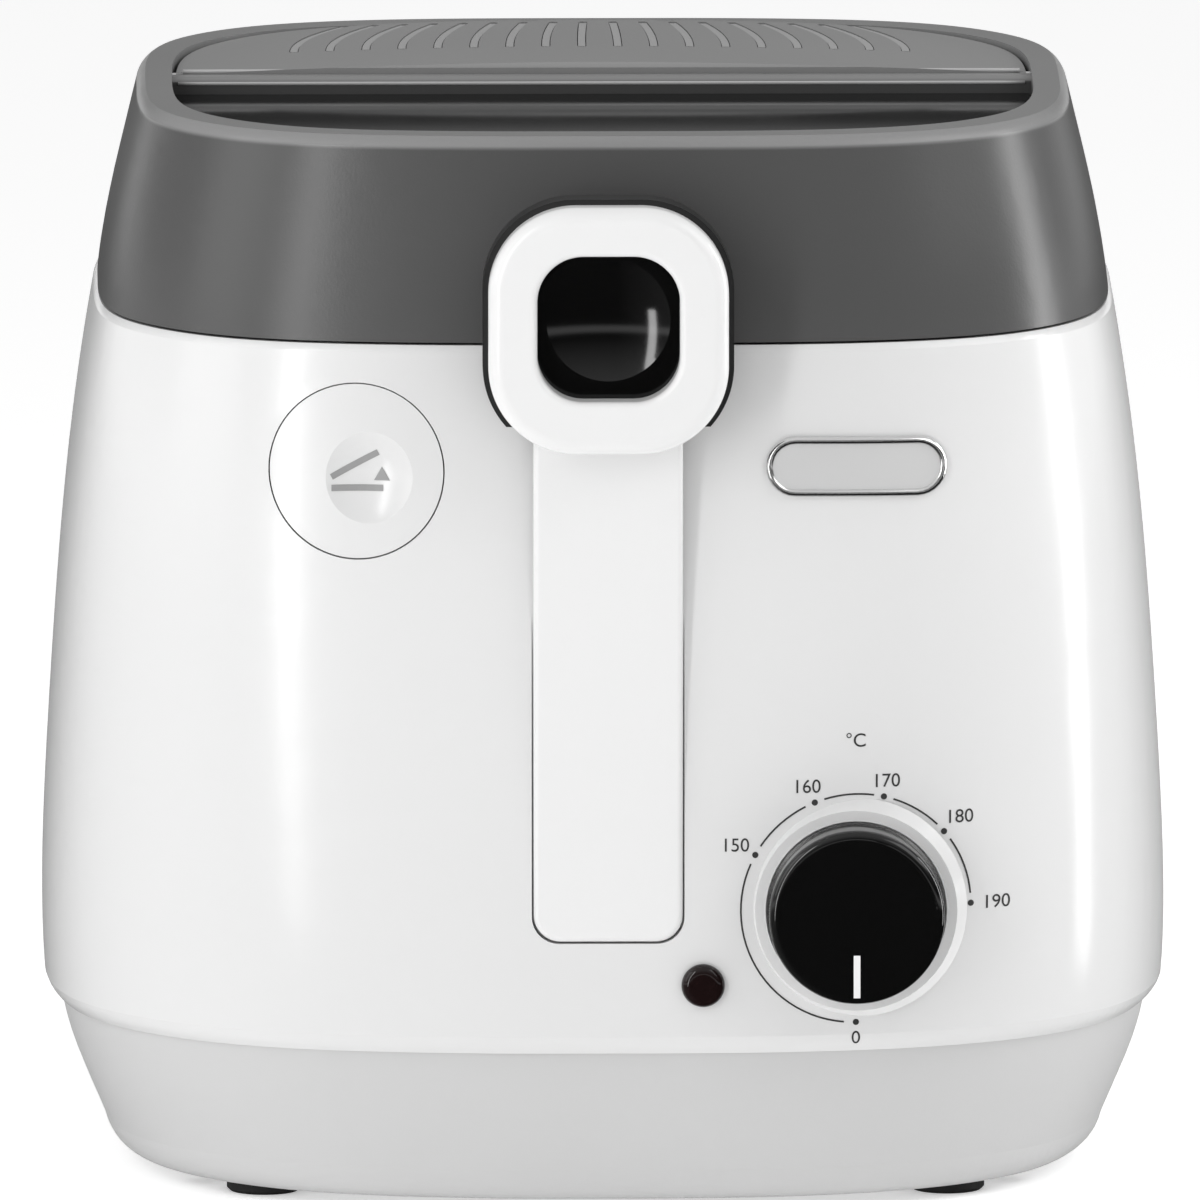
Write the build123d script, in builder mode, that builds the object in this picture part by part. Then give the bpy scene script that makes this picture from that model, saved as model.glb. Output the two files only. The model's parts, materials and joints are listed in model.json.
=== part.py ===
from build123d import *
import os
from math import cos, pi, sin

# Compact domestic deep fryer, millimetres.
# +X is right, -Y is the front, +Z is up. The origin is on the table, under the middle.

os.makedirs("parts", exist_ok=True)

# ---------------------------------------------------------------- driving dimensions
body_width = 270.0  # over the widest belt of the body
body_depth = 239.0  # the body alone, front to back
overall_depth = 262.0  # knob and handle faces to the end of the cord gland
depth_taper = 0.885  # how much the front closes in for each millimetre at the sides

foot_height = 3.0
base_top = 41.0  # seam between the base tray and the body
body_top = 211.0  # top edge of the body
lid_seam = 0.6  # open joint between the body and the lid
lid_height = 48.4
wall = 2.5  # moulded walls
sheet = 1.5  # pressed steel and thin mouldings
running_gap = 0.3  # round pieces that slide or swing
shaft_gap = 0.05  # round a turning shaft or pin

lid_bottom = body_top + lid_seam
lid_top = lid_bottom + lid_height
half_width = body_width / 2
half_depth = body_depth / 2
front_reach = overall_depth / 2

quarter_steps = 6  # spline spans in a quarter of an oval

# ---------------------------------------------------------------- oval sections
# A station is (height, how far the side stands in from the widest belt, squareness).
# The stations of one run are evenly spaced, so that its skin doesn't swell between them.
def run(low, high, insets, square_low, square_high):
    """Evenly spaced stations from one height to another."""
    last = len(insets) - 1
    stations = []
    for number, inset in enumerate(insets):
        share = number / last
        height = low + share * (high - low)
        stations.append((height, inset, square_low + share * (square_high - square_low)))
    return stations


base_knee = 11.0  # where the base starts to round under
lip_height = 4.4  # rounded lower lip of the body
edge_height = 1.6  # rounded top edge of the body
crown_height = 2.4  # rounded top edge of the lid
base_runs = [
    run(foot_height, base_knee, [22.0, 17.2, 15.5, 14.6], 2.75, 2.76),
    run(base_knee, base_top, [14.6, 10.4, 6.6, 4.3], 2.76, 2.9),
]
body_runs = [
    run(base_top, base_top + lip_height, [3.4, 1.4, 0.4], 2.9, 2.92),
    run(base_top + lip_height, body_top - edge_height, [0.4, 0.1, 1.8, 4.1, 7.4, 12.4], 2.92, 3.5),
    run(body_top - edge_height, body_top, [12.4, 12.75, 13.4], 3.5, 3.5),
]
lid_runs = [
    run(lid_bottom, lid_top - crown_height, [13.4, 15.8, 19.2, 22.9], 3.5, 3.5),
    run(lid_top - crown_height, lid_top, [22.9, 23.6, 25.0], 3.5, 3.5),
]


def oval_curves(side, front, squareness):
    """A superellipse with these half sizes, as four curves, one to each quarter."""
    for quarter in range(4):
        start = quarter * pi / 2
        end = start + pi / 2
        points = []
        for step in range(quarter_steps + 1):
            turn = start + (end - start) * step / quarter_steps
            stretch = abs(cos(turn) / side) ** squareness + abs(sin(turn) / front) ** squareness
            radius = stretch ** (-1 / squareness)
            points.append((radius * cos(turn), radius * sin(turn)))
        Spline(*points, tangents=[(-sin(start), cos(start)), (-sin(end), cos(end))])


def oval_face(height, side, front, squareness):
    """One flat oval face at a height."""
    with BuildSketch(Plane.XY.offset(height)) as section:
        with BuildLine():
            oval_curves(side, front, squareness)
        make_face()
    return section.sketch


def station_sizes(station, inset):
    """Half width and half depth of the oval at a station, moved in by inset."""
    side = half_width - station[1] - inset
    front = half_depth - depth_taper * station[1] - inset
    return side, front


def form(runs, inset=0.0, floor=0.0, rise=0.0):
    """A solid lofted run by run; floor lifts its lowest section and rise its highest."""
    lowest = runs[0][0][0]
    highest = runs[-1][-1][0]
    with BuildPart() as solid:
        for stations in runs:
            sections = []
            for station in stations:
                height = station[0]
                if height == lowest:
                    height += floor
                if height == highest:
                    height += rise
                side, front = station_sizes(station, inset)
                sections.append(oval_face(height, side, front, station[2]))
            loft(sections)
    return solid.part


def oval_block(low, high, side, front, squareness=3.5):
    """A straight oval column between two heights."""
    with BuildPart() as solid:
        extrude(oval_face(low, side, front, squareness), amount=high - low)
    return solid.part


def body_sizes(height):
    """Half width, half depth and squareness of the body's outside at a height."""
    body_stations = [station for stations in body_runs for station in stations]
    for below, above in zip(body_stations, body_stations[1:]):
        if height <= above[0]:
            break
    share = (height - below[0]) / max(above[0] - below[0], 0.001)
    inset = below[1] + share * (above[1] - below[1])
    squareness = below[2] + share * (above[2] - below[2])
    return half_width - inset, half_depth - depth_taper * inset, squareness


def body_face(x, height):
    """Distance of the body's outside in front of the middle, at a place on the front."""
    side, front, squareness = body_sizes(height)
    return front * (1 - (abs(x) / side) ** squareness) ** (1 / squareness)


def rod_y(x, z, radius, back, ahead):
    """A round bar along Y between two Y values."""
    with BuildPart() as solid:
        with BuildSketch(Plane((x, back, z), x_dir=(1, 0, 0), z_dir=(0, -1, 0))):
            Circle(radius)
        extrude(amount=back - ahead)
    return solid.part


def ring_y(x, z, outer, inner, back, ahead):
    """A round ring about a line along Y between two Y values."""
    with BuildPart() as solid:
        with BuildSketch(Plane((x, back, z), x_dir=(1, 0, 0), z_dir=(0, -1, 0))):
            Circle(outer)
            Circle(inner, mode=Mode.SUBTRACT)
        extrude(amount=back - ahead)
    return solid.part


def rod_x(y, z, radius, left, right):
    """A round bar along X between two X values."""
    with BuildPart() as solid:
        with BuildSketch(Plane((left, y, z), x_dir=(0, 1, 0), z_dir=(1, 0, 0))):
            Circle(radius)
        extrude(amount=right - left)
    return solid.part


def rod_z(x, y, radius, low, high):
    """A round bar along Z between two heights."""
    with BuildPart() as solid:
        with BuildSketch(Plane((x, y, low))):
            Circle(radius)
        extrude(amount=high - low)
    return solid.part


def block(low, high):
    """A plain block between two opposite corners."""
    size = [top - bottom for bottom, top in zip(low, high)]
    middle = tuple((bottom + top) / 2 for bottom, top in zip(low, high))
    with BuildPart() as solid:
        with Locations(middle):
            Box(*size)
    return solid.part


def finish(piece, name):
    """Label a finished piece and write its STEP file."""
    piece.part.label = name
    export_step(piece.part, "parts/" + name + ".step")


# ---------------------------------------------------------------- named places
# Front stack, counted back from the body's widest front.
strip_front = -half_depth - 0.5
strip_thickness = 3.8
strip_back = strip_front + strip_thickness
recess_floor = strip_back + 0.6
guide_front = -half_depth + 7.7
guide_depth = 3.6
guide_back = guide_front + guide_depth
guide_end = guide_back + 2.2  # inner face of the moulded guide
guide_half = 10.3
leg_front = guide_front + running_gap
leg_back = guide_back - running_gap
leg_half = guide_half - running_gap

lift_travel = 35.0
bridge_top = body_top - 2.0
bridge_bottom = bridge_top - 5.0
bridge_half = 9.0
notch_half = bridge_half + 0.6
notch_top = bridge_top + lift_travel + 1.5

# Bowl and basket, tied to the body's top edge.
ledge_top = body_top - 11.0
ledge_thickness = 2.5
bowl_depth = 100.0
bowl_side = 103.5
bowl_front = 91.5
bowl_draft = 5.0
flange_width = 6.5
bowl_floor = ledge_top - bowl_depth
bowl_under = bowl_floor - sheet
hanger_front = -bowl_front + 3.0
hanger_back = hanger_front + 2.0
basket_side = 97.0
basket_front = -hanger_back - 0.2
basket_top = ledge_top - 10.0
basket_height = 76.0
basket_draft = 6.0

# Handle and its pivot.
ring_width = 57.4
ring_height = 59.5
ring_hole_width = 34.0
ring_hole_height = 35.0
ring_corner = 21.0
ring_centre = body_top + 6.6
ring_front = -front_reach
bezel_thickness = 7.0
frame_front = ring_front + bezel_thickness
frame_lip = 1.3  # how far the dark frame shows round the bezel
neck_back = leg_front - 0.9
neck_front = neck_back - 3.0
frame_back = neck_front - 0.8
pivot_y = frame_back + 1.0
pivot_z = body_top + 29.0
pivot_radius = 3.0
handle_pin_radius = 1.6
strip_width = 35.7
strip_bottom = base_top + 27.5
strip_corner = 6.5
strip_top = ring_centre - ring_height / 2 + 6.0

# Lid hinge at the back.
hinge_y = half_depth - 3.5
hinge_z = body_top - 5.0
hinge_pin_radius = 2.0
knuckle_radius = 4.5
ear_inner = 40.0
ear_outer = 45.0
arm_inner = 31.0

# Button, latch and catch on the left of the front.
button_x = -60.0
button_z = body_top - 30.0
button_radius = 20.7
button_slot = 0.35
latch_x = -32.6
latch_half = 4.0
latch_pivot_y = -half_depth + 22.1
latch_pivot_z = body_top - 71.0
latch_thickness = 2.0
latch_front = latch_pivot_y - latch_thickness / 2
latch_back = latch_pivot_y + latch_thickness / 2
hook_low = body_top - 20.7
hook_high = hook_low + 3.0
catch_front = -half_depth + 16.5

# Thermostat knob and lamp on the right of the front.
knob_x = 59.3
knob_z = base_top + 35.0
knob_radius = 21.0
boss_radius = 24.2
boss_foot_radius = 26.6
boss_front = -half_depth - 0.1
knob_seat = boss_front + 1.6
knob_back = knob_seat - running_gap
knob_front = -front_reach
shaft_radius = 3.0
thermostat_front = -half_depth + 12.0
lamp_x = 22.7
lamp_z = base_top + 17.0
lamp_radius = 5.2

# Cord gland low on the back.
gland_z = base_top + 19.0

# Badge place on the right of the front.
badge_x = 59.5
badge_z = body_top - 29.0
badge_width = 43.5
badge_height = 14.2
badge_tilt = 1.0
badge_thickness = 0.9

# Lid top.
recess_side = 103.6
recess_front = 89.4
recess_depth = 9.0
deck_top = lid_top - recess_depth
deck_thickness = 3.0
deck_under = deck_top - deck_thickness
bar_front = 11.0
bar_back = 15.2
bar_top = lid_top - 1.6
cover_front = bar_back + 1.3
cover_gap = 1.0
cover_top = lid_top + 1.2  # crown of the cover
cover_crown = 2000.0  # radius of the crown
cover_axis_y = cover_front + 2.6
cover_axis_z = lid_top - 2.7
cover_nose = cover_axis_y - bar_back - 0.3  # reach of the cover in front of its hinge
ledge_width = 5.0  # what carries the pane and the filter
pane_thickness = 2.5
pane_gap = 0.3
gasket = 0.8

# ---------------------------------------------------------------- shared forms
body_outer = form(body_runs)
body_middle = form(body_runs, inset=wall / 2)
body_inner = form(body_runs, inset=wall, floor=-1.0, rise=1.0)
lid_outer = form(lid_runs)


def oval_cup(top, side, front, height, draft):
    """A drafted oval solid, smaller at the bottom, with a rounded bottom edge."""
    soft = 8.0
    low = top - height
    with BuildPart() as solid:
        loft([
            oval_face(low, side - draft - soft, front - draft - soft, 3.3),
            oval_face(low + soft / 2, side - draft - 0.2 * soft, front - draft - 0.2 * soft, 3.4),
            oval_face(low + soft, side - draft, front - draft, 3.5),
        ])
        loft([
            oval_face(low + soft, side - draft, front - draft, 3.5),
            oval_face(top, side, front, 3.5),
        ])
    return solid.part


def ball(x, y, z, radius):
    """A sphere in its place."""
    with BuildPart() as solid:
        with Locations((x, y, z)):
            Sphere(radius)
    return solid.part


# ================================================================ body and base
# ---------------------------------------------------------------- body shell
ledge = oval_block(ledge_top - ledge_thickness, ledge_top, half_width, half_depth)
ledge_mouth = oval_block(ledge_top - 20, ledge_top + 20, bowl_side + 1.2, bowl_front + 1.2)
guide_block = block(
    (-guide_half - wall, -half_depth - 5, strip_bottom - wall),
    (guide_half + wall, guide_end, ledge_top + 3.0),
)
recess_back = block(
    (-strip_width / 2 - wall, -half_depth - 5, strip_bottom - wall),
    (strip_width / 2 + wall, recess_floor + wall, body_top - 22.0),
)
button_sleeve = rod_y(button_x, button_z, button_radius + button_slot + 1.8, -half_depth + 20, -half_depth)
latch_ear_left = block(
    (latch_x - 11, -half_depth, latch_pivot_z - 6),
    (latch_x - 7, latch_back + 2.5, latch_pivot_z + 7),
)
latch_ear_right = block(
    (latch_x + 7, -half_depth, latch_pivot_z - 6),
    (latch_x + 11, latch_back + 2.5, latch_pivot_z + 7),
)
thermostat_pad = rod_y(knob_x, knob_z, 13.0, thermostat_front, -half_depth)
lamp_pad = rod_y(lamp_x, lamp_z, 8.5, -half_depth + wall + 1.0, -half_depth)

with BuildPart() as fittings:
    for inside in (ledge, guide_block, recess_back, button_sleeve, latch_ear_left, latch_ear_right):
        add(inside)
    add(thermostat_pad)
    add(lamp_pad)
    add(body_middle, mode=Mode.INTERSECT)

with BuildPart() as dial_boss:
    with BuildSketch(Plane((knob_x, -half_depth + 5, knob_z), x_dir=(1, 0, 0), z_dir=(0, -1, 0))):
        Circle(boss_foot_radius)
    with BuildSketch(Plane((knob_x, boss_front, knob_z), x_dir=(1, 0, 0), z_dir=(0, -1, 0))):
        Circle(boss_radius)
    loft()
    add(body_middle, mode=Mode.SUBTRACT)

with BuildPart() as body_shell:
    add(body_outer)
    add(body_inner, mode=Mode.SUBTRACT)
    add(fittings.part)
    add(ledge_mouth, mode=Mode.SUBTRACT)
    add(dial_boss.part)
    # hinge ears at the back
    for side in (-1, 1):
        ear_low = min(side * ear_inner, side * ear_outer)
        with BuildSketch(Plane((ear_low, 0, 0), x_dir=(0, 1, 0), z_dir=(1, 0, 0))):
            with BuildLine():
                Polyline(
                    (half_depth - 13.0, hinge_z - 12),
                    (hinge_y - 1, hinge_z - knuckle_radius),
                    (hinge_y, hinge_z - knuckle_radius),
                    (hinge_y + knuckle_radius, hinge_z),
                    (hinge_y, hinge_z + knuckle_radius),
                    (half_depth - 13.0, hinge_z + knuckle_radius),
                    close=True,
                )
            make_face()
        extrude(amount=ear_outer - ear_inner)
    # handle recess, carriage guide and bridge notch
    with BuildSketch(Plane((0, recess_floor, 0), x_dir=(1, 0, 0), z_dir=(0, -1, 0))):
        with Locations((0, (strip_bottom - 0.4 + body_top + 10) / 2)):
            RectangleRounded(strip_width + 0.8, body_top + 10 - strip_bottom + 0.4, strip_corner)
    extrude(amount=20, mode=Mode.SUBTRACT)
    add(
        block((-guide_half, guide_front, strip_bottom + 31), (guide_half, guide_back, body_top + 5)),
        mode=Mode.SUBTRACT,
    )
    add(
        block((-notch_half, -half_depth - 5, ledge_top + 3.0), (notch_half, -bowl_front - 5, body_top + 5)),
        mode=Mode.SUBTRACT,
    )
    add(
        block((-bridge_half, -half_depth - 5, body_top - 24), (bridge_half, guide_back, body_top + 5)),
        mode=Mode.SUBTRACT,
    )
    # button hole, catch slot and the holes of the controls
    add(rod_y(button_x, button_z, button_radius + button_slot, 0, -half_depth - 5), mode=Mode.SUBTRACT)
    add(
        block(
            (latch_x - latch_half - 1, catch_front - 1.6, ledge_top - 5),
            (latch_x + latch_half + 1, catch_front + 6, ledge_top + 5),
        ),
        mode=Mode.SUBTRACT,
    )
    add(rod_x(latch_pivot_y, latch_pivot_z, 1.5, latch_x - 20, latch_x + 20), mode=Mode.SUBTRACT)
    add(rod_y(knob_x, knob_z, knob_radius + 0.7, knob_seat, boss_front - 5), mode=Mode.SUBTRACT)
    add(rod_y(knob_x, knob_z, 5.0, 0, -half_depth - 5), mode=Mode.SUBTRACT)
    add(rod_y(lamp_x, lamp_z, lamp_radius - 1, 0, -half_depth - 5), mode=Mode.SUBTRACT)
    add(rod_x(hinge_y, hinge_z, hinge_pin_radius, -60, 60), mode=Mode.SUBTRACT)
    # hole for the cord gland
    add(rod_y(0, gland_z, 8.0, half_depth + 5, half_depth - 10), mode=Mode.SUBTRACT)
finish(body_shell, "body_shell")

# ---------------------------------------------------------------- hinge pin of the lid
with BuildPart() as lid_hinge_pin:
    add(rod_x(hinge_y, hinge_z, hinge_pin_radius, -ear_outer - 1, ear_outer + 1))
finish(lid_hinge_pin, "lid_hinge_pin")

# ---------------------------------------------------------------- base tray, feet and screws
foot_x = 82.0
foot_y = 68.0
foot_radius = 9.0
screw_x = 96.0
screw_y = 56.0
post_x = 40.0
post_y = 24.0
shield_z = bowl_under - 18.0
base_inner = form(base_runs, inset=wall, floor=wall, rise=1.0)
feet_places = [(x, y) for x in (-foot_x, foot_x) for y in (-foot_y, foot_y)]
screw_places = [(x, y) for x in (-screw_x, screw_x) for y in (-screw_y, screw_y)]
with BuildPart() as base_tray:
    add(form(base_runs))
    add(base_inner, mode=Mode.SUBTRACT)
    with BuildSketch(Plane.XY.offset(foot_height + 1)):
        with Locations(screw_places):
            Circle(5.0)
    extrude(amount=base_top - foot_height - 5)
    with BuildSketch(Plane.XY.offset(foot_height + 1)):
        with GridLocations(2 * post_x, 2 * post_y, 2, 2):
            Circle(3.5)
    extrude(amount=shield_z - foot_height - 1)
    with BuildSketch(Plane.XY.offset(foot_height)):
        with Locations(screw_places):
            Circle(4.2)
    extrude(amount=base_top - foot_height - 9, mode=Mode.SUBTRACT)
    with BuildSketch(Plane.XY):
        with Locations(screw_places):
            Circle(2.2)
    extrude(amount=base_top + 10, mode=Mode.SUBTRACT)
finish(base_tray, "base_tray")

with BuildPart() as base_screws:
    for x, y in screw_places:
        add(rod_z(x, y, 4.0, base_top - 12.2, base_top - 9))
        add(rod_z(x, y, 2.0, base_top - 9, base_top + 8))
finish(base_screws, "base_screws")

with BuildPart() as screw_bosses:
    # Tubes that hang from the body's belt and take the base screws.
    for x, y in screw_places:
        with BuildSketch(Plane((x, y, base_top - 3.6))):
            Circle(5.0)
            Circle(2.05, mode=Mode.SUBTRACT)
        extrude(amount=12.2)
        with BuildSketch(Plane((x, y, base_top + 8.4))):
            Circle(5.0)
        extrude(amount=3)
        reach = 40.0 if x > 0 else -40.0
        with BuildSketch(Plane((x + reach / 2, y, base_top + 8.4))):
            Rectangle(abs(reach), 3.0)
        extrude(amount=3)
    add(form(body_runs, inset=wall), mode=Mode.INTERSECT)
finish(screw_bosses, "screw_bosses")

with BuildPart() as feet:
    with BuildSketch():
        with Locations(feet_places):
            Circle(foot_radius)
    extrude(amount=foot_height)
    chamfer(feet.faces().sort_by(Axis.Z)[0:4].edges(), 0.8)
finish(feet, "feet")

# ---------------------------------------------------------------- cord gland at the back
gland_radius = 7.6
gland_bore = 3.6
gland_mouth = 4.2  # wider bore of the part that stands out of the wall
gland_shoulder = half_depth + 2.8
with BuildPart() as cord_gland:
    add(rod_y(0, gland_z, gland_radius, front_reach, half_depth - 9))
    add(rod_y(0, gland_z, gland_radius + 3.0, gland_shoulder, half_depth + 0.3))
    add(rod_y(0, gland_z, gland_radius + 2.0, half_depth - 3.2, half_depth - 6))
    add(rod_y(0, gland_z, gland_bore, front_reach + 1, half_depth - 20), mode=Mode.SUBTRACT)
    add(rod_y(0, gland_z, gland_mouth, front_reach + 1, gland_shoulder), mode=Mode.SUBTRACT)
    chamfer(cord_gland.faces().sort_by(Axis.Y)[-1].outer_wire().edges(), 1.2)
finish(cord_gland, "cord_gland")

# ---------------------------------------------------------------- bowl, plate and element
with BuildPart() as bowl:
    add(oval_cup(ledge_top, bowl_side, bowl_front, bowl_depth + sheet, bowl_draft))
    add(oval_block(ledge_top, ledge_top + sheet, bowl_side + flange_width, bowl_front + flange_width))
    add(
        oval_cup(
            ledge_top + sheet + 0.01,
            bowl_side - sheet,
            bowl_front - sheet,
            bowl_depth + sheet,
            bowl_draft,
        ),
        mode=Mode.SUBTRACT,
    )
finish(bowl, "bowl")

plate_radius = 72.0
plate_thickness = 3.0
element_radius = 56.0
element_tube = 3.3
element_z = bowl_under - plate_thickness - element_tube
element_half_turn = 160.0
with BuildPart() as element_plate:
    with BuildSketch(Plane.XY.offset(bowl_under - plate_thickness)):
        Circle(plate_radius)
    extrude(amount=plate_thickness)
finish(element_plate, "element_plate")

with BuildPart() as heating_element:
    start_turn = 90 + 180 - element_half_turn
    with BuildLine() as element_path:
        CenterArc((0, 0, element_z), element_radius, start_turn, 2 * element_half_turn)
    with BuildSketch(Plane(element_path.line @ 0, z_dir=element_path.line % 0)):
        Circle(element_tube)
    sweep(path=element_path.line)
    for end in (element_path.line @ 0, element_path.line @ 1):
        add(rod_z(end.X, end.Y, element_tube, element_z - 10, element_z))
        add(ball(end.X, end.Y, element_z, element_tube))
finish(heating_element, "heating_element")

with BuildPart() as element_clamp:
    with BuildSketch(Plane.XY.offset(element_z - element_tube - sheet)):
        with PolarLocations(0, 3, -90):
            Rectangle(2 * (element_radius + 8), 14)
    extrude(amount=sheet)
    with BuildSketch(Plane.XY.offset(element_z - element_tube - sheet)):
        Circle(12)
    extrude(amount=bowl_under - plate_thickness - element_z + element_tube + sheet)
finish(element_clamp, "element_clamp")

with BuildPart() as heat_shield:
    with BuildSketch(Plane.XY.offset(shield_z)):
        RectangleRounded(2 * post_x + 16, 2 * post_y + 22, 10)
    extrude(amount=sheet)
    with BuildSketch(Plane.XY.offset(shield_z)):
        with GridLocations(2 * post_x, 2 * post_y, 2, 2):
            Circle(1.6)
    extrude(amount=sheet, mode=Mode.SUBTRACT)
finish(heat_shield, "heat_shield")

with BuildPart() as shield_screws:
    for x in (-post_x, post_x):
        for y in (-post_y, post_y):
            add(rod_z(x, y, 3.0, shield_z + sheet, shield_z + sheet + 2.0))
            add(rod_z(x, y, 1.55, shield_z, shield_z + sheet))
finish(shield_screws, "shield_screws")

# ---------------------------------------------------------------- thermostat and wiring
thermostat_depth = 24.0
thermostat_half = 15.0
thermostat_back = thermostat_front + thermostat_depth
nose_radius = 4.95
with BuildPart() as thermostat_body:
    add(
        block(
            (knob_x - thermostat_half, thermostat_front, knob_z - 13),
            (knob_x + thermostat_half, thermostat_back, knob_z + 13),
        )
    )
    fillet(thermostat_body.edges().filter_by(Axis.Y), 1.5)
    add(rod_y(knob_x, knob_z, nose_radius, thermostat_front + 1, knob_seat + 0.4))
    add(
        rod_y(knob_x, knob_z, shaft_radius + shaft_gap, thermostat_back - 6, knob_seat - 5),
        mode=Mode.SUBTRACT,
    )
finish(thermostat_body, "thermostat_body")

bulb_radius = 3.0
bulb_y = -20.0
bulb_x = plate_radius + bulb_radius + 1.0
bulb_z = bowl_under - bulb_radius - 0.1
capillary_radius = 0.9
capillary_start = (knob_x, thermostat_back, knob_z)
capillary_bend = (bulb_x, thermostat_back + 16, knob_z + 4)
capillary_rise = (bulb_x, bulb_y - 30, bulb_z)
with BuildPart() as thermostat_bulb:
    with BuildLine() as capillary:
        FilletPolyline(
            capillary_start,
            (knob_x, thermostat_back + 10, knob_z),
            capillary_bend,
            capillary_rise,
            (bulb_x, bulb_y - 12, bulb_z),
            radius=5.0,
        )
    with BuildSketch(Plane(capillary.line @ 0, z_dir=capillary.line % 0)):
        Circle(capillary_radius)
    sweep(path=capillary.line)
    add(rod_y(bulb_x, bulb_z, bulb_radius, bulb_y + 14, bulb_y - 14))
finish(thermostat_bulb, "thermostat_bulb")

with BuildPart() as bulb_clip:
    with BuildSketch(Plane((0, bulb_y, 0), x_dir=(1, 0, 0), z_dir=(0, -1, 0))):
        with Locations((bulb_x, bulb_z)):
            Circle(bulb_radius + 1.0)
            Circle(bulb_radius + 0.02, mode=Mode.SUBTRACT)
        with Locations((bulb_x - 6, bulb_z - bulb_radius - 0.5)):
            Rectangle(12, 1.0)
    extrude(amount=4, both=True)
    add(rod_y(bulb_x, bulb_z, bulb_radius + 0.02, bulb_y + 10, bulb_y - 10), mode=Mode.SUBTRACT)
    add(oval_cup(ledge_top, bowl_side, bowl_front, bowl_depth + sheet, bowl_draft), mode=Mode.SUBTRACT)
finish(bulb_clip, "bulb_clip")

with BuildPart() as thermal_cutout:
    add(rod_z(26, 30, 8.0, bowl_under - plate_thickness - 5.0, bowl_under - plate_thickness))
    add(rod_z(26, 30, 5.0, bowl_under - plate_thickness - 8.0, bowl_under - plate_thickness - 5.0))
finish(thermal_cutout, "thermal_cutout")

terminal_y = 72.0
terminal_floor = foot_height + wall
with BuildPart() as terminal_block:
    add(block((-18, terminal_y - 8, terminal_floor), (18, terminal_y + 8, terminal_floor + 18)))
    with BuildSketch(Plane((0, terminal_y, terminal_floor + 18))):
        with GridLocations(11, 0, 3, 1):
            Circle(2.4)
    extrude(amount=-9, mode=Mode.SUBTRACT)
finish(terminal_block, "terminal_block")

lead_radius = 1.3
element_ends = [element_path.line @ 0, element_path.line @ 1]
with BuildPart() as element_leads:
    for end, slot in zip(element_ends, (1, -1)):
        lead_x = 11.0 * slot * (1 if end.X * slot > 0 else -1)
        with BuildLine() as lead_path:
            FilletPolyline(
                (end.X, end.Y, element_z - 10),
                (end.X, end.Y, element_z - 19),
                (lead_x, terminal_y, terminal_floor + 36),
                (lead_x, terminal_y, terminal_floor + 9.2),
                radius=4.0,
            )
        with BuildSketch(Plane(lead_path.line @ 0, z_dir=lead_path.line % 0)):
            Circle(lead_radius)
        sweep(path=lead_path.line)
finish(element_leads, "element_leads")

# ---------------------------------------------------------------- lamp
lamp_face = -body_face(lamp_x, lamp_z)
lens_stem = lamp_radius - 1.15
with BuildPart() as lamp_lens:
    add(rod_y(lamp_x, lamp_z, lamp_radius, lamp_face - 0.7, lamp_face - 3.0))
    fillet(lamp_lens.faces().sort_by(Axis.Y)[0].edges(), 2.2)
    add(rod_y(lamp_x, lamp_z, lens_stem, lamp_face + 12, lamp_face - 0.8))
finish(lamp_lens, "lamp_lens")

with BuildPart() as lamp_holder:
    holder_front = -half_depth + wall + 1.0
    add(rod_y(lamp_x, lamp_z, 7.5, holder_front + 2.0, holder_front))
    add(rod_y(lamp_x, lamp_z, lens_stem + 1.4, holder_front + 14.0, holder_front))
    add(rod_y(lamp_x, lamp_z, lens_stem + 0.02, lamp_face + 12, -half_depth), mode=Mode.SUBTRACT)
    add(rod_y(lamp_x, lamp_z, 3.0, holder_front + 20, -half_depth), mode=Mode.SUBTRACT)
finish(lamp_holder, "lamp_holder")

# ================================================================ carriage and basket
# ---------------------------------------------------------------- basket carriage
hanger_low = basket_top - 8.0
neck_half = 20.0
neck_low = body_top - 21.0
neck_shoulder = pivot_z - 9.0
with BuildPart() as carriage:
    # leg in the guide
    add(block((-leg_half, leg_front, strip_bottom + 31.3), (leg_half, leg_back, bridge_bottom)))
    # bridge over the rim of the bowl and the hanger inside it
    add(block((-bridge_half, leg_front, bridge_bottom), (bridge_half, hanger_back, bridge_top)))
    add(block((-bridge_half, hanger_front, hanger_low), (bridge_half, hanger_back, bridge_top)))
    # neck plate in front of the lid, joined to the leg by a web
    web_half = bridge_half - running_gap
    add(block((-web_half, neck_back - 0.2, neck_low + 1), (web_half, leg_back, bridge_top)))
    with BuildSketch(Plane((0, neck_back, 0), x_dir=(1, 0, 0), z_dir=(0, -1, 0))):
        with Locations((0, (neck_low + neck_shoulder) / 2)):
            RectangleRounded(2 * neck_half, neck_shoulder - neck_low, 4.0)
        with Locations((0, (neck_shoulder + pivot_z) / 2 - 1)):
            Rectangle(2 * (bridge_half - 1), pivot_z - neck_shoulder + 2)
    extrude(amount=neck_back - neck_front)
    add(rod_x(pivot_y, pivot_z, pivot_radius, -bridge_half + 1, bridge_half - 1))
    add(rod_x(pivot_y, pivot_z, handle_pin_radius + shaft_gap, -20, 20), mode=Mode.SUBTRACT)
finish(carriage, "carriage")

# ---------------------------------------------------------------- basket
basket_wall = 1.6
with BuildPart() as basket:
    add(oval_cup(basket_top, basket_side - 1.6, basket_front - 1.6, basket_height, basket_draft))
    add(
        oval_cup(
            basket_top + 0.01,
            basket_side - 1.6 - basket_wall,
            basket_front - 1.6 - basket_wall,
            basket_height - basket_wall,
            basket_draft,
        ),
        mode=Mode.SUBTRACT,
    )
finish(basket, "basket")

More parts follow.
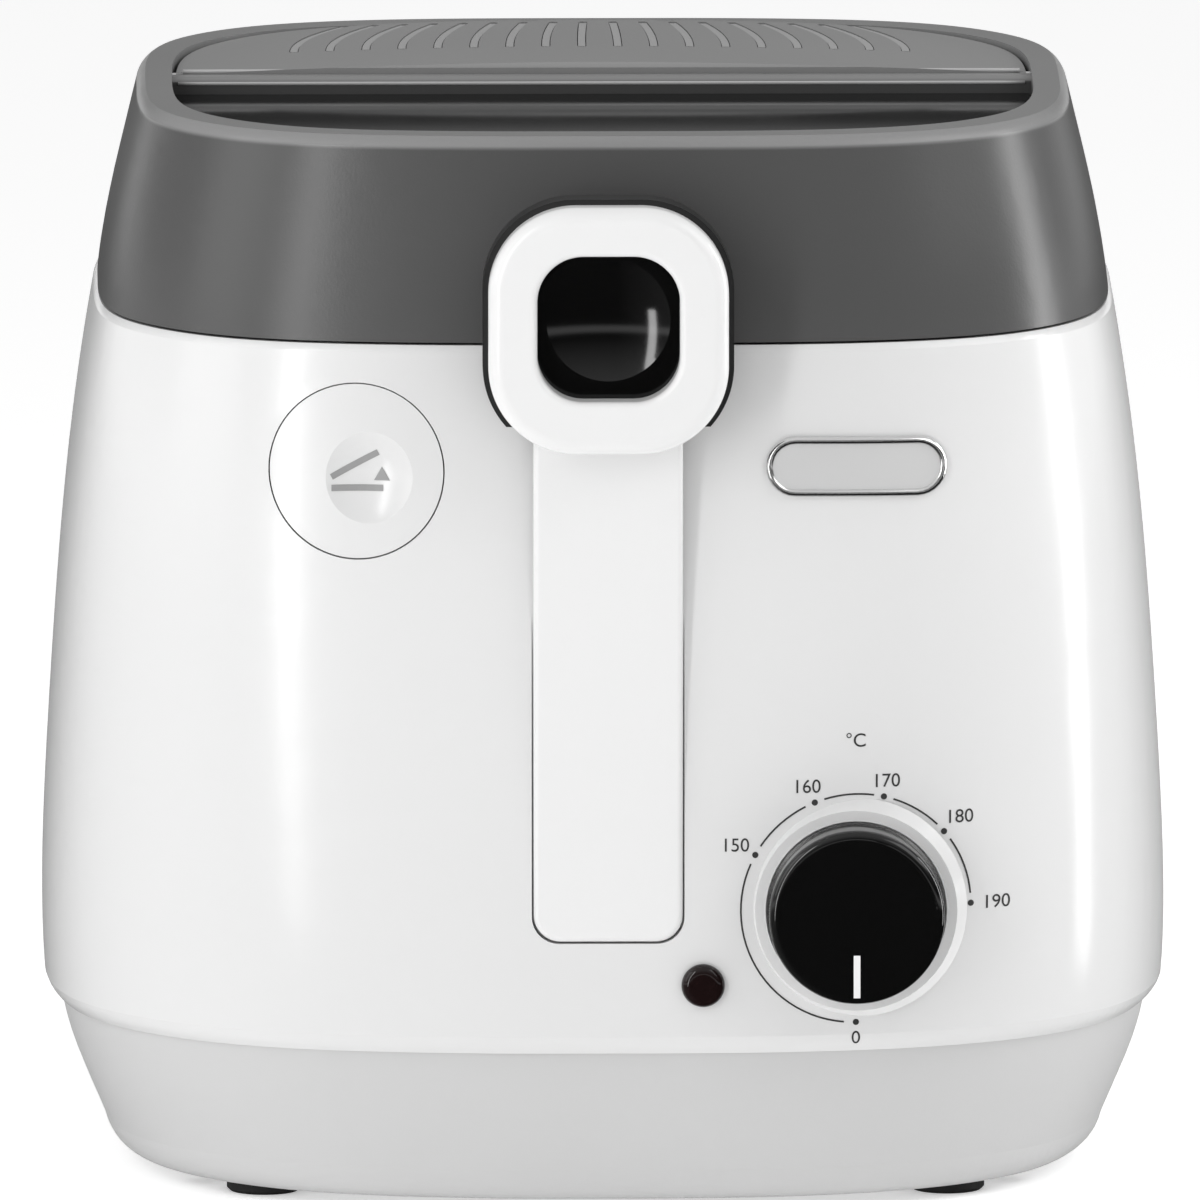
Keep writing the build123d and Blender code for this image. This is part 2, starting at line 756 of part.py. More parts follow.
with BuildPart() as basket_rim:
    add(oval_block(basket_top - 5.0, basket_top, basket_side, basket_front))
    add(
        oval_block(basket_top - 6.0, basket_top + 1, basket_side - 1.6, basket_front - 1.6),
        mode=Mode.SUBTRACT,
    )
finish(basket_rim, "basket_rim")

# ================================================================ handle
frame_width = ring_width + 2 * frame_lip
frame_height = ring_height + 2 * frame_lip
pad_width = ring_hole_width + 4.4
pad_height = ring_hole_height + 11.0
pad_travel = 4.0
cavity_depth = 5.4
cavity_floor = frame_front + cavity_depth


def front_plate(x, z, width, height, corner, front, back):
    """A plate with rounded corners that faces the front."""
    with BuildPart() as solid:
        with BuildSketch(Plane((x, back, z), x_dir=(1, 0, 0), z_dir=(0, -1, 0))):
            RectangleRounded(width, height, corner)
        extrude(amount=back - front)
    return solid.part


with BuildPart() as handle_bezel:
    add(front_plate(0, ring_centre, ring_width, ring_height, ring_corner, ring_front, frame_front))
    fillet(handle_bezel.faces().sort_by(Axis.Y)[0].outer_wire().edges(), 3.4)
    add(
        front_plate(
            0, ring_centre + 0.6, ring_hole_width, ring_hole_height, 11.0, ring_front - 1, frame_front + 1
        ),
        mode=Mode.SUBTRACT,
    )
    inner_edges = handle_bezel.faces().sort_by(Axis.Y)[0].inner_wires()[0].edges()
    fillet(inner_edges, 1.6)
finish(handle_bezel, "handle_bezel")

fork_half = 13.0
with BuildPart() as handle_frame:
    add(front_plate(0, ring_centre, frame_width, frame_height, ring_corner + 1, frame_front, frame_back))
    add(
        block((-40, frame_front - 1, ring_centre - 40), (40, frame_back + 1, strip_top)),
        mode=Mode.SUBTRACT,
    )
    # cavity that the thumb slide runs in
    add(
        front_plate(
            0,
            ring_centre + 0.6,
            pad_width + 2 * running_gap,
            pad_height + 2 * running_gap,
            5.0,
            frame_front - 1,
            cavity_floor,
        ),
        mode=Mode.SUBTRACT,
    )
    # relief round the pivot knuckle, and the ears with the pin's bore
    for side in (-1, 1):
        ear_low = min(side * (bridge_half - 0.6), side * fork_half)
        add(rod_x(pivot_y, pivot_z, pivot_radius, ear_low, ear_low + fork_half - bridge_half + 0.6))
    add(
        rod_x(pivot_y, pivot_z, pivot_radius + 0.5, -bridge_half + 0.6, bridge_half - 0.6),
        mode=Mode.SUBTRACT,
    )
    add(rod_x(pivot_y, pivot_z, handle_pin_radius, -fork_half, fork_half), mode=Mode.SUBTRACT)
finish(handle_frame, "handle_frame")

with BuildPart() as handle_pin:
    add(rod_x(pivot_y, pivot_z, handle_pin_radius, -fork_half, fork_half))
finish(handle_pin, "handle_pin")

with BuildPart() as handle_strip:
    strip_height = strip_top - strip_bottom
    add(
        front_plate(
            0,
            strip_bottom + (strip_height + 10) / 2,
            strip_width,
            strip_height + 10,
            strip_corner,
            strip_front,
            strip_back,
        )
    )
    add(block((-30, strip_front - 5, strip_top), (30, strip_back + 5, strip_top + 30)), mode=Mode.SUBTRACT)
    front_edges = handle_strip.faces().sort_by(Axis.Y)[0].edges()
    fillet(front_edges.filter_by(lambda edge: edge.center().Z < strip_top - 0.1), 1.4)
    # tongue that closes the space behind the bezel
    add(
        block(
            (-strip_width / 2 + 1, frame_front, ring_centre - ring_height / 2 + 1.2),
            (strip_width / 2 - 1, strip_front + 1, strip_top),
        )
    )
finish(handle_strip, "handle_strip")

# ---------------------------------------------------------------- thumb slide
pad_front = frame_front + 0.3
pad_back = cavity_floor - 0.3
with BuildPart() as thumb_slider:
    pad_low = ring_centre + 0.6 - pad_height / 2 + pad_travel
    pad_middle = (pad_low + ring_centre + 0.6 + pad_height / 2) / 2
    add(front_plate(0, pad_middle, pad_width, pad_height - pad_travel, 4.5, pad_front, pad_back))
    # thumb dish, and a low lip along its top edge
    dish_radius = 34.0
    add(ball(0, pad_front - dish_radius + 3.4, ring_centre + 2, dish_radius), mode=Mode.SUBTRACT)
finish(thumb_slider, "thumb_slider")

spring_radius = 1.5
spring_wire = 0.35
spring_y = (pad_front + pad_back) / 2
spring_low = ring_centre + 0.6 - pad_height / 2 - running_gap + 0.05
spring_high = pad_low - 0.05
with BuildPart() as slider_spring:
    with BuildLine(Plane((0, spring_y, spring_low + spring_wire))) as spring_line:
        Helix(pitch=1.0, height=spring_high - spring_low - 2 * spring_wire, radius=spring_radius)
    with BuildSketch(Plane(spring_line.line @ 0, z_dir=spring_line.line % 0)):
        Circle(spring_wire)
    sweep(path=spring_line.line)
finish(slider_spring, "slider_spring")

# ================================================================ lid
# ---------------------------------------------------------------- lid shell
lid_core = [run(lid_bottom - 1, deck_under, [13.3, 15.2, 17.8, 20.7], 3.5, 3.5)]
lid_cavity = form(lid_core, inset=wall)
window_side = recess_side - ledge_width
window_front = recess_front - ledge_width


def front_half(solid, edge):
    """The part of a solid in front of a line."""
    with BuildPart() as half:
        add(solid)
        add(block((-200, -200, 0), (200, edge, 400)), mode=Mode.INTERSECT)
    return half.part


def rear_half(solid, edge):
    """The part of a solid behind a line."""
    with BuildPart() as half:
        add(solid)
        add(block((-200, edge, 0), (200, 200, 400)), mode=Mode.INTERSECT)
    return half.part


recess = oval_block(deck_top, lid_top + 5, recess_side, recess_front)
well = oval_block(deck_under - 1, deck_top + 1, window_side, window_front)
arm_outer = ear_inner - running_gap
arm_top = lid_bottom + 9.0

# cross bar between the window and the filter
with BuildPart() as cross_bar:
    add(block((-half_width, bar_front, deck_top - 0.5), (half_width, bar_back, bar_top)))
    chamfer(cross_bar.faces().sort_by(Axis.Z)[-1].edges().group_by(Axis.Y)[0], 1.2)
    add(oval_block(deck_top - 2, lid_top, recess_side + 1, recess_front + 1), mode=Mode.INTERSECT)

with BuildPart() as lid_shell:
    add(lid_outer)
    add(lid_cavity, mode=Mode.SUBTRACT)
    add(recess, mode=Mode.SUBTRACT)
    add(front_half(well, bar_front - ledge_width), mode=Mode.SUBTRACT)
    add(rear_half(well, cover_front + ledge_width), mode=Mode.SUBTRACT)
    add(cross_bar.part)
    # notch for the carriage
    add(block((-notch_half, -half_depth, 0), (notch_half, -bowl_front, notch_top)), mode=Mode.SUBTRACT)
    # hinge arms at the back
    for side in (-1, 1):
        arm_low = min(side * arm_inner, side * arm_outer)
        with BuildSketch(Plane((arm_low, 0, 0), x_dir=(0, 1, 0), z_dir=(1, 0, 0))):
            with Locations((hinge_y, hinge_z)):
                Circle(knuckle_radius)
            with BuildLine():
                Polyline(
                    (hinge_y - knuckle_radius, hinge_z),
                    (hinge_y + knuckle_radius, hinge_z),
                    (hinge_y + knuckle_radius, arm_top - 3),
                    (hinge_y + 1, arm_top),
                    (half_depth - 14.0, arm_top),
                    (half_depth - 14.0, lid_bottom + 2),
                    (hinge_y - knuckle_radius, lid_bottom + 2),
                    close=True,
                )
            make_face()
        extrude(amount=arm_outer - arm_inner)
    add(rod_x(hinge_y, hinge_z, hinge_pin_radius + shaft_gap, -60, 60), mode=Mode.SUBTRACT)
finish(lid_shell, "lid_shell")

# ---------------------------------------------------------------- liner and seal of the lid
liner_side = bowl_side + 4.0
liner_front = bowl_front + 4.0
liner_low = ledge_top + sheet + 2.4
liner_top = deck_under - 0.3
with BuildPart() as lid_liner:
    add(oval_block(liner_low, liner_top, liner_side, liner_front))
    add(
        oval_block(liner_low - 1, liner_top - sheet, liner_side - sheet, liner_front - sheet),
        mode=Mode.SUBTRACT,
    )
    liner_window = oval_block(liner_low, liner_top + 1, window_side - 1, window_front - 1)
    add(front_half(liner_window, bar_front - ledge_width), mode=Mode.SUBTRACT)
    add(rear_half(liner_window, cover_front + ledge_width), mode=Mode.SUBTRACT)
    add(block((-notch_half, -half_depth, 0), (notch_half, hanger_back, notch_top)), mode=Mode.SUBTRACT)
finish(lid_liner, "lid_liner")

with BuildPart() as lid_seal:
    seal_top = liner_low + 3.0
    add(oval_block(ledge_top + sheet + 0.3, seal_top, liner_side + 1.8, liner_front + 1.8))
    add(
        oval_block(ledge_top, liner_low + 0.01, liner_side - sheet - 1.0, liner_front - sheet - 1.0),
        mode=Mode.SUBTRACT,
    )
    add(oval_block(liner_low, seal_top + 1, liner_side, liner_front), mode=Mode.SUBTRACT)
    add(
        block((-notch_half, -half_depth, bridge_bottom - 0.8), (notch_half, -20, seal_top + 1)),
        mode=Mode.SUBTRACT,
    )
finish(lid_seal, "lid_seal")

# ---------------------------------------------------------------- window
pane_rear = bar_front - pane_gap
with BuildPart() as window_seal:
    add(oval_block(deck_top, deck_top + gasket, recess_side - pane_gap, recess_front - pane_gap))
    add(oval_block(deck_top - 1, deck_top + 2, window_side + 0.5, window_front + 0.5), mode=Mode.SUBTRACT)
    add(
        block(
            (-half_width, bar_front - ledge_width + 0.5, deck_top),
            (half_width, pane_rear, deck_top + gasket),
        ),
    )
    add(
        oval_block(deck_top - 1, deck_top + 2, recess_side - pane_gap, recess_front - pane_gap),
        mode=Mode.INTERSECT,
    )
    add(block((-half_width, -half_depth, 0), (half_width, pane_rear, lid_top)), mode=Mode.INTERSECT)
finish(window_seal, "window_seal")

with BuildPart() as window_pane:
    pane_low = deck_top + gasket
    add(oval_block(pane_low, pane_low + pane_thickness, recess_side - pane_gap, recess_front - pane_gap))
    add(block((-half_width, -half_depth, 0), (half_width, pane_rear, lid_top)), mode=Mode.INTERSECT)
    chamfer(window_pane.faces().sort_by(Axis.Z)[-1].edges(), 0.4)
finish(window_pane, "window_pane")

# ---------------------------------------------------------------- filter and its cover
skirt_low = deck_top + 0.3
with BuildPart() as filter_cartridge:
    filter_front = cover_front + 5.0
    add(oval_block(deck_top, deck_top + 4.0, recess_side - cover_gap - 4.0, recess_front - cover_gap - 4.0))
    add(block((-84, filter_front, 0), (84, half_depth, lid_top)), mode=Mode.INTERSECT)
finish(filter_cartridge, "filter_cartridge")

slot_count = 18
slot_pitch = 8.7
slot_front = 43.0
slot_back = 84.0
slot_narrowing = 0.83  # how the row closes in towards the back
slot_width = 2.2
cover_inner = cover_top - cover_crown
with BuildPart() as nose_waste:
    add(
        block(
            (-half_width, cover_front - 2, cover_axis_z),
            (half_width, cover_axis_y, cover_top + 2),
        )
    )
    add(
        rod_x(cover_axis_y, cover_axis_z, cover_nose, -half_width - 1, half_width + 1),
        mode=Mode.SUBTRACT,
    )

with BuildPart() as filter_cover:
    add(
        oval_block(skirt_low, cover_top + 3, recess_side - cover_gap, recess_front - cover_gap),
    )
    add(
        oval_block(
            skirt_low - 1,
            cover_axis_z + 0.6,
            recess_side - cover_gap - 2.0,
            recess_front - cover_gap - 2.0,
        ),
        mode=Mode.SUBTRACT,
    )
    add(
        block((-half_width, cover_front, skirt_low), (half_width, half_depth, lid_top + 20)),
        mode=Mode.INTERSECT,
    )
    # hinge barrel along the front edge
    barrel_half = recess_side - cover_gap - 6.0
    add(rod_x(cover_axis_y, cover_axis_z, 2.2, -barrel_half, barrel_half))
    add(
        block((-half_width, 0, skirt_low - 2), (half_width, cover_front + 12, cover_axis_z - 2.2)),
        mode=Mode.SUBTRACT,
    )
    # crowned top
    add(ball(0, cover_front + 38, cover_inner, cover_crown), mode=Mode.INTERSECT)
    # front edge rounded about the hinge, so that it swings clear of the cross bar
    add(nose_waste.part, mode=Mode.SUBTRACT)
    # curved steam slots
    for number in range(slot_count):
        slot_x = slot_pitch * (number - (slot_count - 1) / 2)
        with BuildSketch(Plane.XY.offset(cover_axis_z)):
            with BuildLine(mode=Mode.PRIVATE) as slot_line:
                TangentArc((slot_x, slot_front), (slot_narrowing * slot_x, slot_back), tangent=(0, 1))
            SlotArc(slot_line.edges()[0], slot_width)
        extrude(amount=20, mode=Mode.SUBTRACT)
    # finger notches each side of the tab at the back
    for side in (-1, 1):
        add(rod_z(side * 16.5, recess_front - cover_gap, 2.4, cover_axis_z, lid_top + 9), mode=Mode.SUBTRACT)
    add(rod_x(cover_axis_y, cover_axis_z, 1.0 + shaft_gap, -half_width, -barrel_half + 8), mode=Mode.SUBTRACT)
    add(rod_x(cover_axis_y, cover_axis_z, 1.0 + shaft_gap, barrel_half - 8, half_width), mode=Mode.SUBTRACT)
finish(filter_cover, "filter_cover")

with BuildPart() as filter_hinge_pins:
    for side in (-1, 1):
        pin_inner = side * (barrel_half - 7.0)
        pin_outer = side * (recess_side + 2.0)
        add(rod_x(cover_axis_y, cover_axis_z, 1.0, min(pin_inner, pin_outer), max(pin_inner, pin_outer)))
    add(oval_block(deck_top, lid_top, recess_side, recess_front), mode=Mode.INTERSECT)
finish(filter_hinge_pins, "filter_hinge_pins")

# ---------------------------------------------------------------- catch of the lid
catch_back = catch_front + 2.0
catch_low = hook_low - 4.6
catch_high = lid_bottom + 13.0
with BuildPart() as catch_root:
    add(
        block(
            (latch_x - latch_half, -half_depth, lid_bottom + 3.0),
            (latch_x + latch_half, catch_back, catch_high),
        )
    )
    add(lid_cavity, mode=Mode.INTERSECT)

with BuildPart() as lid_catch:
    add(catch_root.part)
    add(
        block(
            (latch_x - latch_half, catch_front, catch_low),
            (latch_x + latch_half, catch_back, lid_bottom + 4),
        )
    )
    add(
        block(
            (latch_x - latch_half, catch_back - 0.5, catch_low),
            (latch_x + latch_half, latch_front - 0.9, hook_low - 0.3),
        )
    )
finish(lid_catch, "lid_catch")

# ================================================================ button and latch
button_face_y = -body_face(button_x, button_z)
button_back = latch_front - 0.4
cup_back = -half_depth + 16.5
button_cup_floor = -half_depth + 14.7
with BuildPart() as lid_button:
    add(rod_y(button_x, button_z, button_radius, cup_back, -half_depth - 5))
    add(rod_y(button_x, button_z, button_radius - 2.0, cup_back + 1, button_cup_floor), mode=Mode.SUBTRACT)
    add(form(body_runs, inset=0.25), mode=Mode.INTERSECT)
    add(rod_y(button_x, button_z, 4.5, button_back, -half_depth + 14))
    # finger dish
    add(ball(button_x, button_face_y - 23.0, button_z + 1, 25.5), mode=Mode.SUBTRACT)
finish(lid_button, "lid_button")

with BuildPart() as latch_lever:
    add(
        block(
            (latch_x - latch_half, latch_front, latch_pivot_z),
            (latch_x + latch_half, latch_back, hook_high),
        )
    )
    add(
        block(
            (latch_x - latch_half, latch_front - 0.6, hook_low),
            (latch_x + latch_half, latch_back, hook_high),
        )
    )
    add(block((button_x - 5, latch_front, button_z - 5), (latch_x + latch_half, latch_back, button_z + 5)))
    add(rod_x(latch_pivot_y, latch_pivot_z, 3.5, latch_x - 6, latch_x + 6))
    add(rod_x(latch_pivot_y, latch_pivot_z, 1.5 + shaft_gap, latch_x - 20, latch_x + 20), mode=Mode.SUBTRACT)
finish(latch_lever, "latch_lever")

with BuildPart() as latch_pin:
    add(rod_x(latch_pivot_y, latch_pivot_z, 1.5, latch_x - 12, latch_x + 12))
finish(latch_pin, "latch_pin")

# ================================================================ thermostat knob
with BuildPart() as knob:
    add(rod_y(knob_x, knob_z, knob_radius, knob_back, knob_front))
    front_edge = knob.faces().sort_by(Axis.Y)[0].edges()
    fillet(front_edge, 2.0)
    add(rod_y(knob_x, knob_z, knob_radius - 2.5, knob_back + 1, knob_front + 5.0), mode=Mode.SUBTRACT)
    add(rod_y(knob_x, knob_z, 6.5, knob_back, knob_front + 4))
    add(rod_y(knob_x, knob_z, shaft_radius, knob_back + 1, knob_front + 5.5), mode=Mode.SUBTRACT)
    # groove for the trim ring and slot for the pointer
    add(
        ring_y(knob_x, knob_z, knob_radius + 1, knob_radius - 1.0, knob_back - 1.2, knob_back - 2.4),
        mode=Mode.SUBTRACT,
    )
    pointer_low = knob_z - knob_radius + 1.6
    pointer_high = knob_z - knob_radius + 12.0
    add(
        block((knob_x - 0.8, knob_front - 1, pointer_low), (knob_x + 0.8, knob_front + 0.8, pointer_high)),
        mode=Mode.SUBTRACT,
    )
finish(knob, "knob")

with BuildPart() as knob_pointer:
    add(block((knob_x - 0.8, knob_front, pointer_low), (knob_x + 0.8, knob_front + 0.8, pointer_high)))
    add(rod_y(knob_x, knob_z, knob_radius - 1.7, knob_front + 2, knob_front - 1), mode=Mode.INTERSECT)
finish(knob_pointer, "knob_pointer")

with BuildPart() as knob_trim_ring:
    add(rod_y(knob_x, knob_z, knob_radius + 0.35, knob_back - 1.25, knob_back - 2.35))
    add(rod_y(knob_x, knob_z, knob_radius - 0.98, knob_back, knob_back - 4), mode=Mode.SUBTRACT)
finish(knob_trim_ring, "knob_trim_ring")

with BuildPart() as knob_shaft:
    add(rod_y(knob_x, knob_z, shaft_radius, thermostat_back - 6.1, knob_front + 5.5))
finish(knob_shaft, "knob_shaft")

# ================================================================ badge place
with BuildPart() as badge_plate:
    with BuildSketch(Plane((badge_x, 0, badge_z), x_dir=(1, 0, 0), z_dir=(0, -1, 0))):
        SlotOverall(badge_width, badge_height, rotation=-badge_tilt)
    extrude(amount=half_depth + 10)
    add(form(body_runs, inset=-badge_thickness), mode=Mode.INTERSECT)
    add(form(body_runs, inset=-0.02), mode=Mode.SUBTRACT)
finish(badge_plate, "badge_plate")

# ---------------------------------------------------------------- spring of the button
coil_radius = 5.6
coil_wire = 0.4
coil_front = button_cup_floor + coil_wire + 0.05
coil_length = latch_front - coil_wire - 0.1 - coil_front
with BuildPart() as button_spring:
    with BuildLine() as coil_line:
        Helix(
            pitch=1.6,
            height=coil_length,
            radius=coil_radius,
            center=(button_x, coil_front, button_z),
            direction=(0, 1, 0),
        )
    with BuildSketch(Plane(coil_line.line @ 0, z_dir=coil_line.line % 0)):
        Circle(coil_wire)
    sweep(path=coil_line.line)
finish(button_spring, "button_spring")
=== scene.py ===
# %% [markdown]
# # A compact deep fryer, finished in Blender
#
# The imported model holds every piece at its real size. This lesson gives each piece its finish, adds the
# printed dial, the icon of the lid button, the wire basket and the bare badge, and sets up a studio.
# Lengths are in metres, +X is right, -Y is the front and +Z is up.

# %% Load the frame
import json
import math

import bmesh
import bpy
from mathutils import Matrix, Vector
from mathutils.bvhtree import BVHTree


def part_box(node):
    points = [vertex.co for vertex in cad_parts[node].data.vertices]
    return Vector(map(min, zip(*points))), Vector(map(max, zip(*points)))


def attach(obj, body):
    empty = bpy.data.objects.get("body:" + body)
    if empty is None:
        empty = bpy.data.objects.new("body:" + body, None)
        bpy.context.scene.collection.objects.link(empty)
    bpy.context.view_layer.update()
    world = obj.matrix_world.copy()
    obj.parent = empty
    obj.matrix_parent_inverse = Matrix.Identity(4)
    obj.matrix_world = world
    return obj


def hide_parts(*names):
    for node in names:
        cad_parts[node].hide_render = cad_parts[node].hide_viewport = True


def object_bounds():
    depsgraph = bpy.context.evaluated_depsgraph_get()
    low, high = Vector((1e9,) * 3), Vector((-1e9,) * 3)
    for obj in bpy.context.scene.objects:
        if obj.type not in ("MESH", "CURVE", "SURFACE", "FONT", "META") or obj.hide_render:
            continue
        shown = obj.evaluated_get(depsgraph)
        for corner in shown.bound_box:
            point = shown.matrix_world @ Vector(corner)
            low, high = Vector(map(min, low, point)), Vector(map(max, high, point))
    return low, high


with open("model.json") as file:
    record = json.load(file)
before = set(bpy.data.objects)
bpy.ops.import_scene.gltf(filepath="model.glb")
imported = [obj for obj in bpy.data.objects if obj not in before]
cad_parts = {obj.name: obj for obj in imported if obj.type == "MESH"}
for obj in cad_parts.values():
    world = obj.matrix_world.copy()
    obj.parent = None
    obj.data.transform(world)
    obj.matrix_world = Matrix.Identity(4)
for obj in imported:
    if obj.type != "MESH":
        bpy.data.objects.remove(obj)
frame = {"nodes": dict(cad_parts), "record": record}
cad_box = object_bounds()
nodes = frame["nodes"]
MM = 0.001

# %% [markdown]
# Places come from the frame: a node's box gives its corners, so a piece that is printed on the body or
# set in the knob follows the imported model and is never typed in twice.

# %% Places read from the frame


def middle(node):
    """Centre of a node's box."""
    low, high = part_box(node)
    return (Vector(low) + Vector(high)) / 2


def size(node):
    """Width, depth and height of a node's box."""
    low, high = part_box(node)
    return Vector(high) - Vector(low)


knob_middle = middle("knob")
knob_radius = size("knob").x / 2
button_middle = middle("lid_button")
badge_middle = middle("badge_plate")
body_low = Vector(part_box("body_shell")[0])
print("knob radius", round(knob_radius, 4), "button at", [round(v, 4) for v in button_middle])

# %% [markdown]
# ## Shared effects
#
# Three effects are used by more than one material, so each is a node group with named inputs. A group only
# puts out colours, values and normals. The shader itself stays in every material, where its plain numbers
# can be read by an exporter.

# %% Node helpers


def new_group(name, inputs, outputs):
    """An empty shader group with its sockets made on the interface."""
    group = bpy.data.node_groups.new(name, "ShaderNodeTree")
    for label, kind, value in inputs:
        socket = group.interface.new_socket(name=label, in_out="INPUT", socket_type=kind)
        socket.default_value = value
    for label, kind in outputs:
        group.interface.new_socket(name=label, in_out="OUTPUT", socket_type=kind)
    entry = group.nodes.new("NodeGroupInput")
    leave = group.nodes.new("NodeGroupOutput")
    return group, entry, leave


def add_node(tree, kind, **values):
    """A node with its settings made in one call; plain attributes and input sockets both work."""
    node = tree.nodes.new(kind)
    for key, value in values.items():
        if hasattr(node, key):
            setattr(node, key, value)
        else:
            node.inputs[key.replace("_", " ")].default_value = value
    return node


def feed(tree, wanted, socket):
    """Links another socket in, or sets a plain number."""
    if hasattr(wanted, "is_output"):
        tree.links.new(wanted, socket)
    else:
        socket.default_value = wanted


def noise(tree, scale, detail, stretch=(1.0, 1.0, 1.0)):
    """Noise in object coordinates, which are metres, optionally stretched along an axis."""
    place = add_node(tree, "ShaderNodeTexCoord")
    mapping = add_node(tree, "ShaderNodeMapping", Scale=stretch)
    field = add_node(tree, "ShaderNodeTexNoise", Detail=detail)
    tree.links.new(place.outputs["Object"], mapping.inputs["Vector"])
    tree.links.new(mapping.outputs["Vector"], field.inputs["Vector"])
    feed(tree, scale, field.inputs["Scale"])
    return field.outputs["Fac"]


NOISE_LOW, NOISE_HIGH = 0.2, 0.8


def spread(tree, value, low, high):
    """Eases the middle of a noise onto low to high; low and high may be sockets."""
    node = add_node(tree, "ShaderNodeMapRange", interpolation_type="SMOOTHSTEP")
    node.inputs["From Min"].default_value = NOISE_LOW
    node.inputs["From Max"].default_value = NOISE_HIGH
    tree.links.new(value, node.inputs["Value"])
    feed(tree, low, node.inputs["To Min"])
    feed(tree, high, node.inputs["To Max"])
    return node.outputs["Result"]


print("helpers", [helper.__name__ for helper in (new_group, add_node, feed, noise, spread)])


# %% [markdown]
# Moulded plastic is never one flat tone. The tool leaves a fine grain, and the surface cools unevenly, so
# the gloss drifts a little over a hand's width. The group makes both from noise in object space.

# %% Group: moulded skin


def make_moulded_skin():
    """Grain, drifting tone and drifting gloss of an injection moulding."""
    inputs = [
        ("Tone", "NodeSocketColor", (0.5, 0.5, 0.5, 1.0)),
        ("Tone Drift", "NodeSocketFloat", 0.03),
        ("Gloss Low", "NodeSocketFloat", 0.2),
        ("Gloss High", "NodeSocketFloat", 0.3),
        ("Grain Scale", "NodeSocketFloat", 900.0),
        ("Grain Height", "NodeSocketFloat", 0.1),
    ]
    outputs = [
        ("Color", "NodeSocketColor"),
        ("Roughness", "NodeSocketFloat"),
        ("Normal", "NodeSocketVector"),
    ]
    group, entry, leave = new_group("moulded_skin", inputs, outputs)
    links = group.links
    drift = noise(group, 9.0, detail=2.0)
    shade = add_node(group, "ShaderNodeHueSaturation")
    less = add_node(group, "ShaderNodeMath", operation="SUBTRACT")
    less.inputs[0].default_value = 1.0
    links.new(entry.outputs["Tone Drift"], less.inputs[1])
    links.new(spread(group, drift, less.outputs["Value"], 1.0), shade.inputs["Value"])
    links.new(entry.outputs["Tone"], shade.inputs["Color"])
    gloss = spread(group, drift, entry.outputs["Gloss Low"], entry.outputs["Gloss High"])
    grain = noise(group, entry.outputs["Grain Scale"], detail=2.0)
    bump = add_node(group, "ShaderNodeBump", Distance=0.0002)
    links.new(entry.outputs["Grain Height"], bump.inputs["Strength"])
    links.new(grain, bump.inputs["Height"])
    links.new(shade.outputs["Color"], leave.inputs["Color"])
    links.new(gloss, leave.inputs["Roughness"])
    links.new(bump.outputs["Normal"], leave.inputs["Normal"])
    return group


moulded_skin = make_moulded_skin()
print("group", moulded_skin.name)

# %% [markdown]
# Rolled and drawn steel carries fine lines along the way it was worked. Noise that is stretched hard along
# one axis gives those lines for the tone, the gloss and a very shallow bump.

# %% Group: worked metal


def make_worked_metal():
    """Fine parallel lines of rolled or drawn metal."""
    inputs = [
        ("Tone", "NodeSocketColor", (0.6, 0.6, 0.6, 1.0)),
        ("Line Depth", "NodeSocketFloat", 0.1),
        ("Gloss Low", "NodeSocketFloat", 0.2),
        ("Gloss High", "NodeSocketFloat", 0.4),
    ]
    outputs = [
        ("Color", "NodeSocketColor"),
        ("Roughness", "NodeSocketFloat"),
        ("Normal", "NodeSocketVector"),
    ]
    group, entry, leave = new_group("worked_metal", inputs, outputs)
    links = group.links
    lines = noise(group, 60.0, detail=4.0, stretch=(1.0, 1.0, 40.0))
    shade = add_node(group, "ShaderNodeHueSaturation")
    links.new(spread(group, lines, 0.86, 1.0), shade.inputs["Value"])
    links.new(entry.outputs["Tone"], shade.inputs["Color"])
    gloss = spread(group, lines, entry.outputs["Gloss Low"], entry.outputs["Gloss High"])
    bump = add_node(group, "ShaderNodeBump", Distance=0.0001)
    links.new(entry.outputs["Line Depth"], bump.inputs["Strength"])
    links.new(lines, bump.inputs["Height"])
    links.new(shade.outputs["Color"], leave.inputs["Color"])
    links.new(gloss, leave.inputs["Roughness"])
    links.new(bump.outputs["Normal"], leave.inputs["Normal"])
    return group


worked_metal = make_worked_metal()
print("group", worked_metal.name)

# %% [markdown]
# The non-stick coat of the bowl, the foam of the filter and cast metal are all peppered with small cells.
# A Voronoi field gives the cells, and mixes two tones as well as the height.

# %% Group: peppered cells


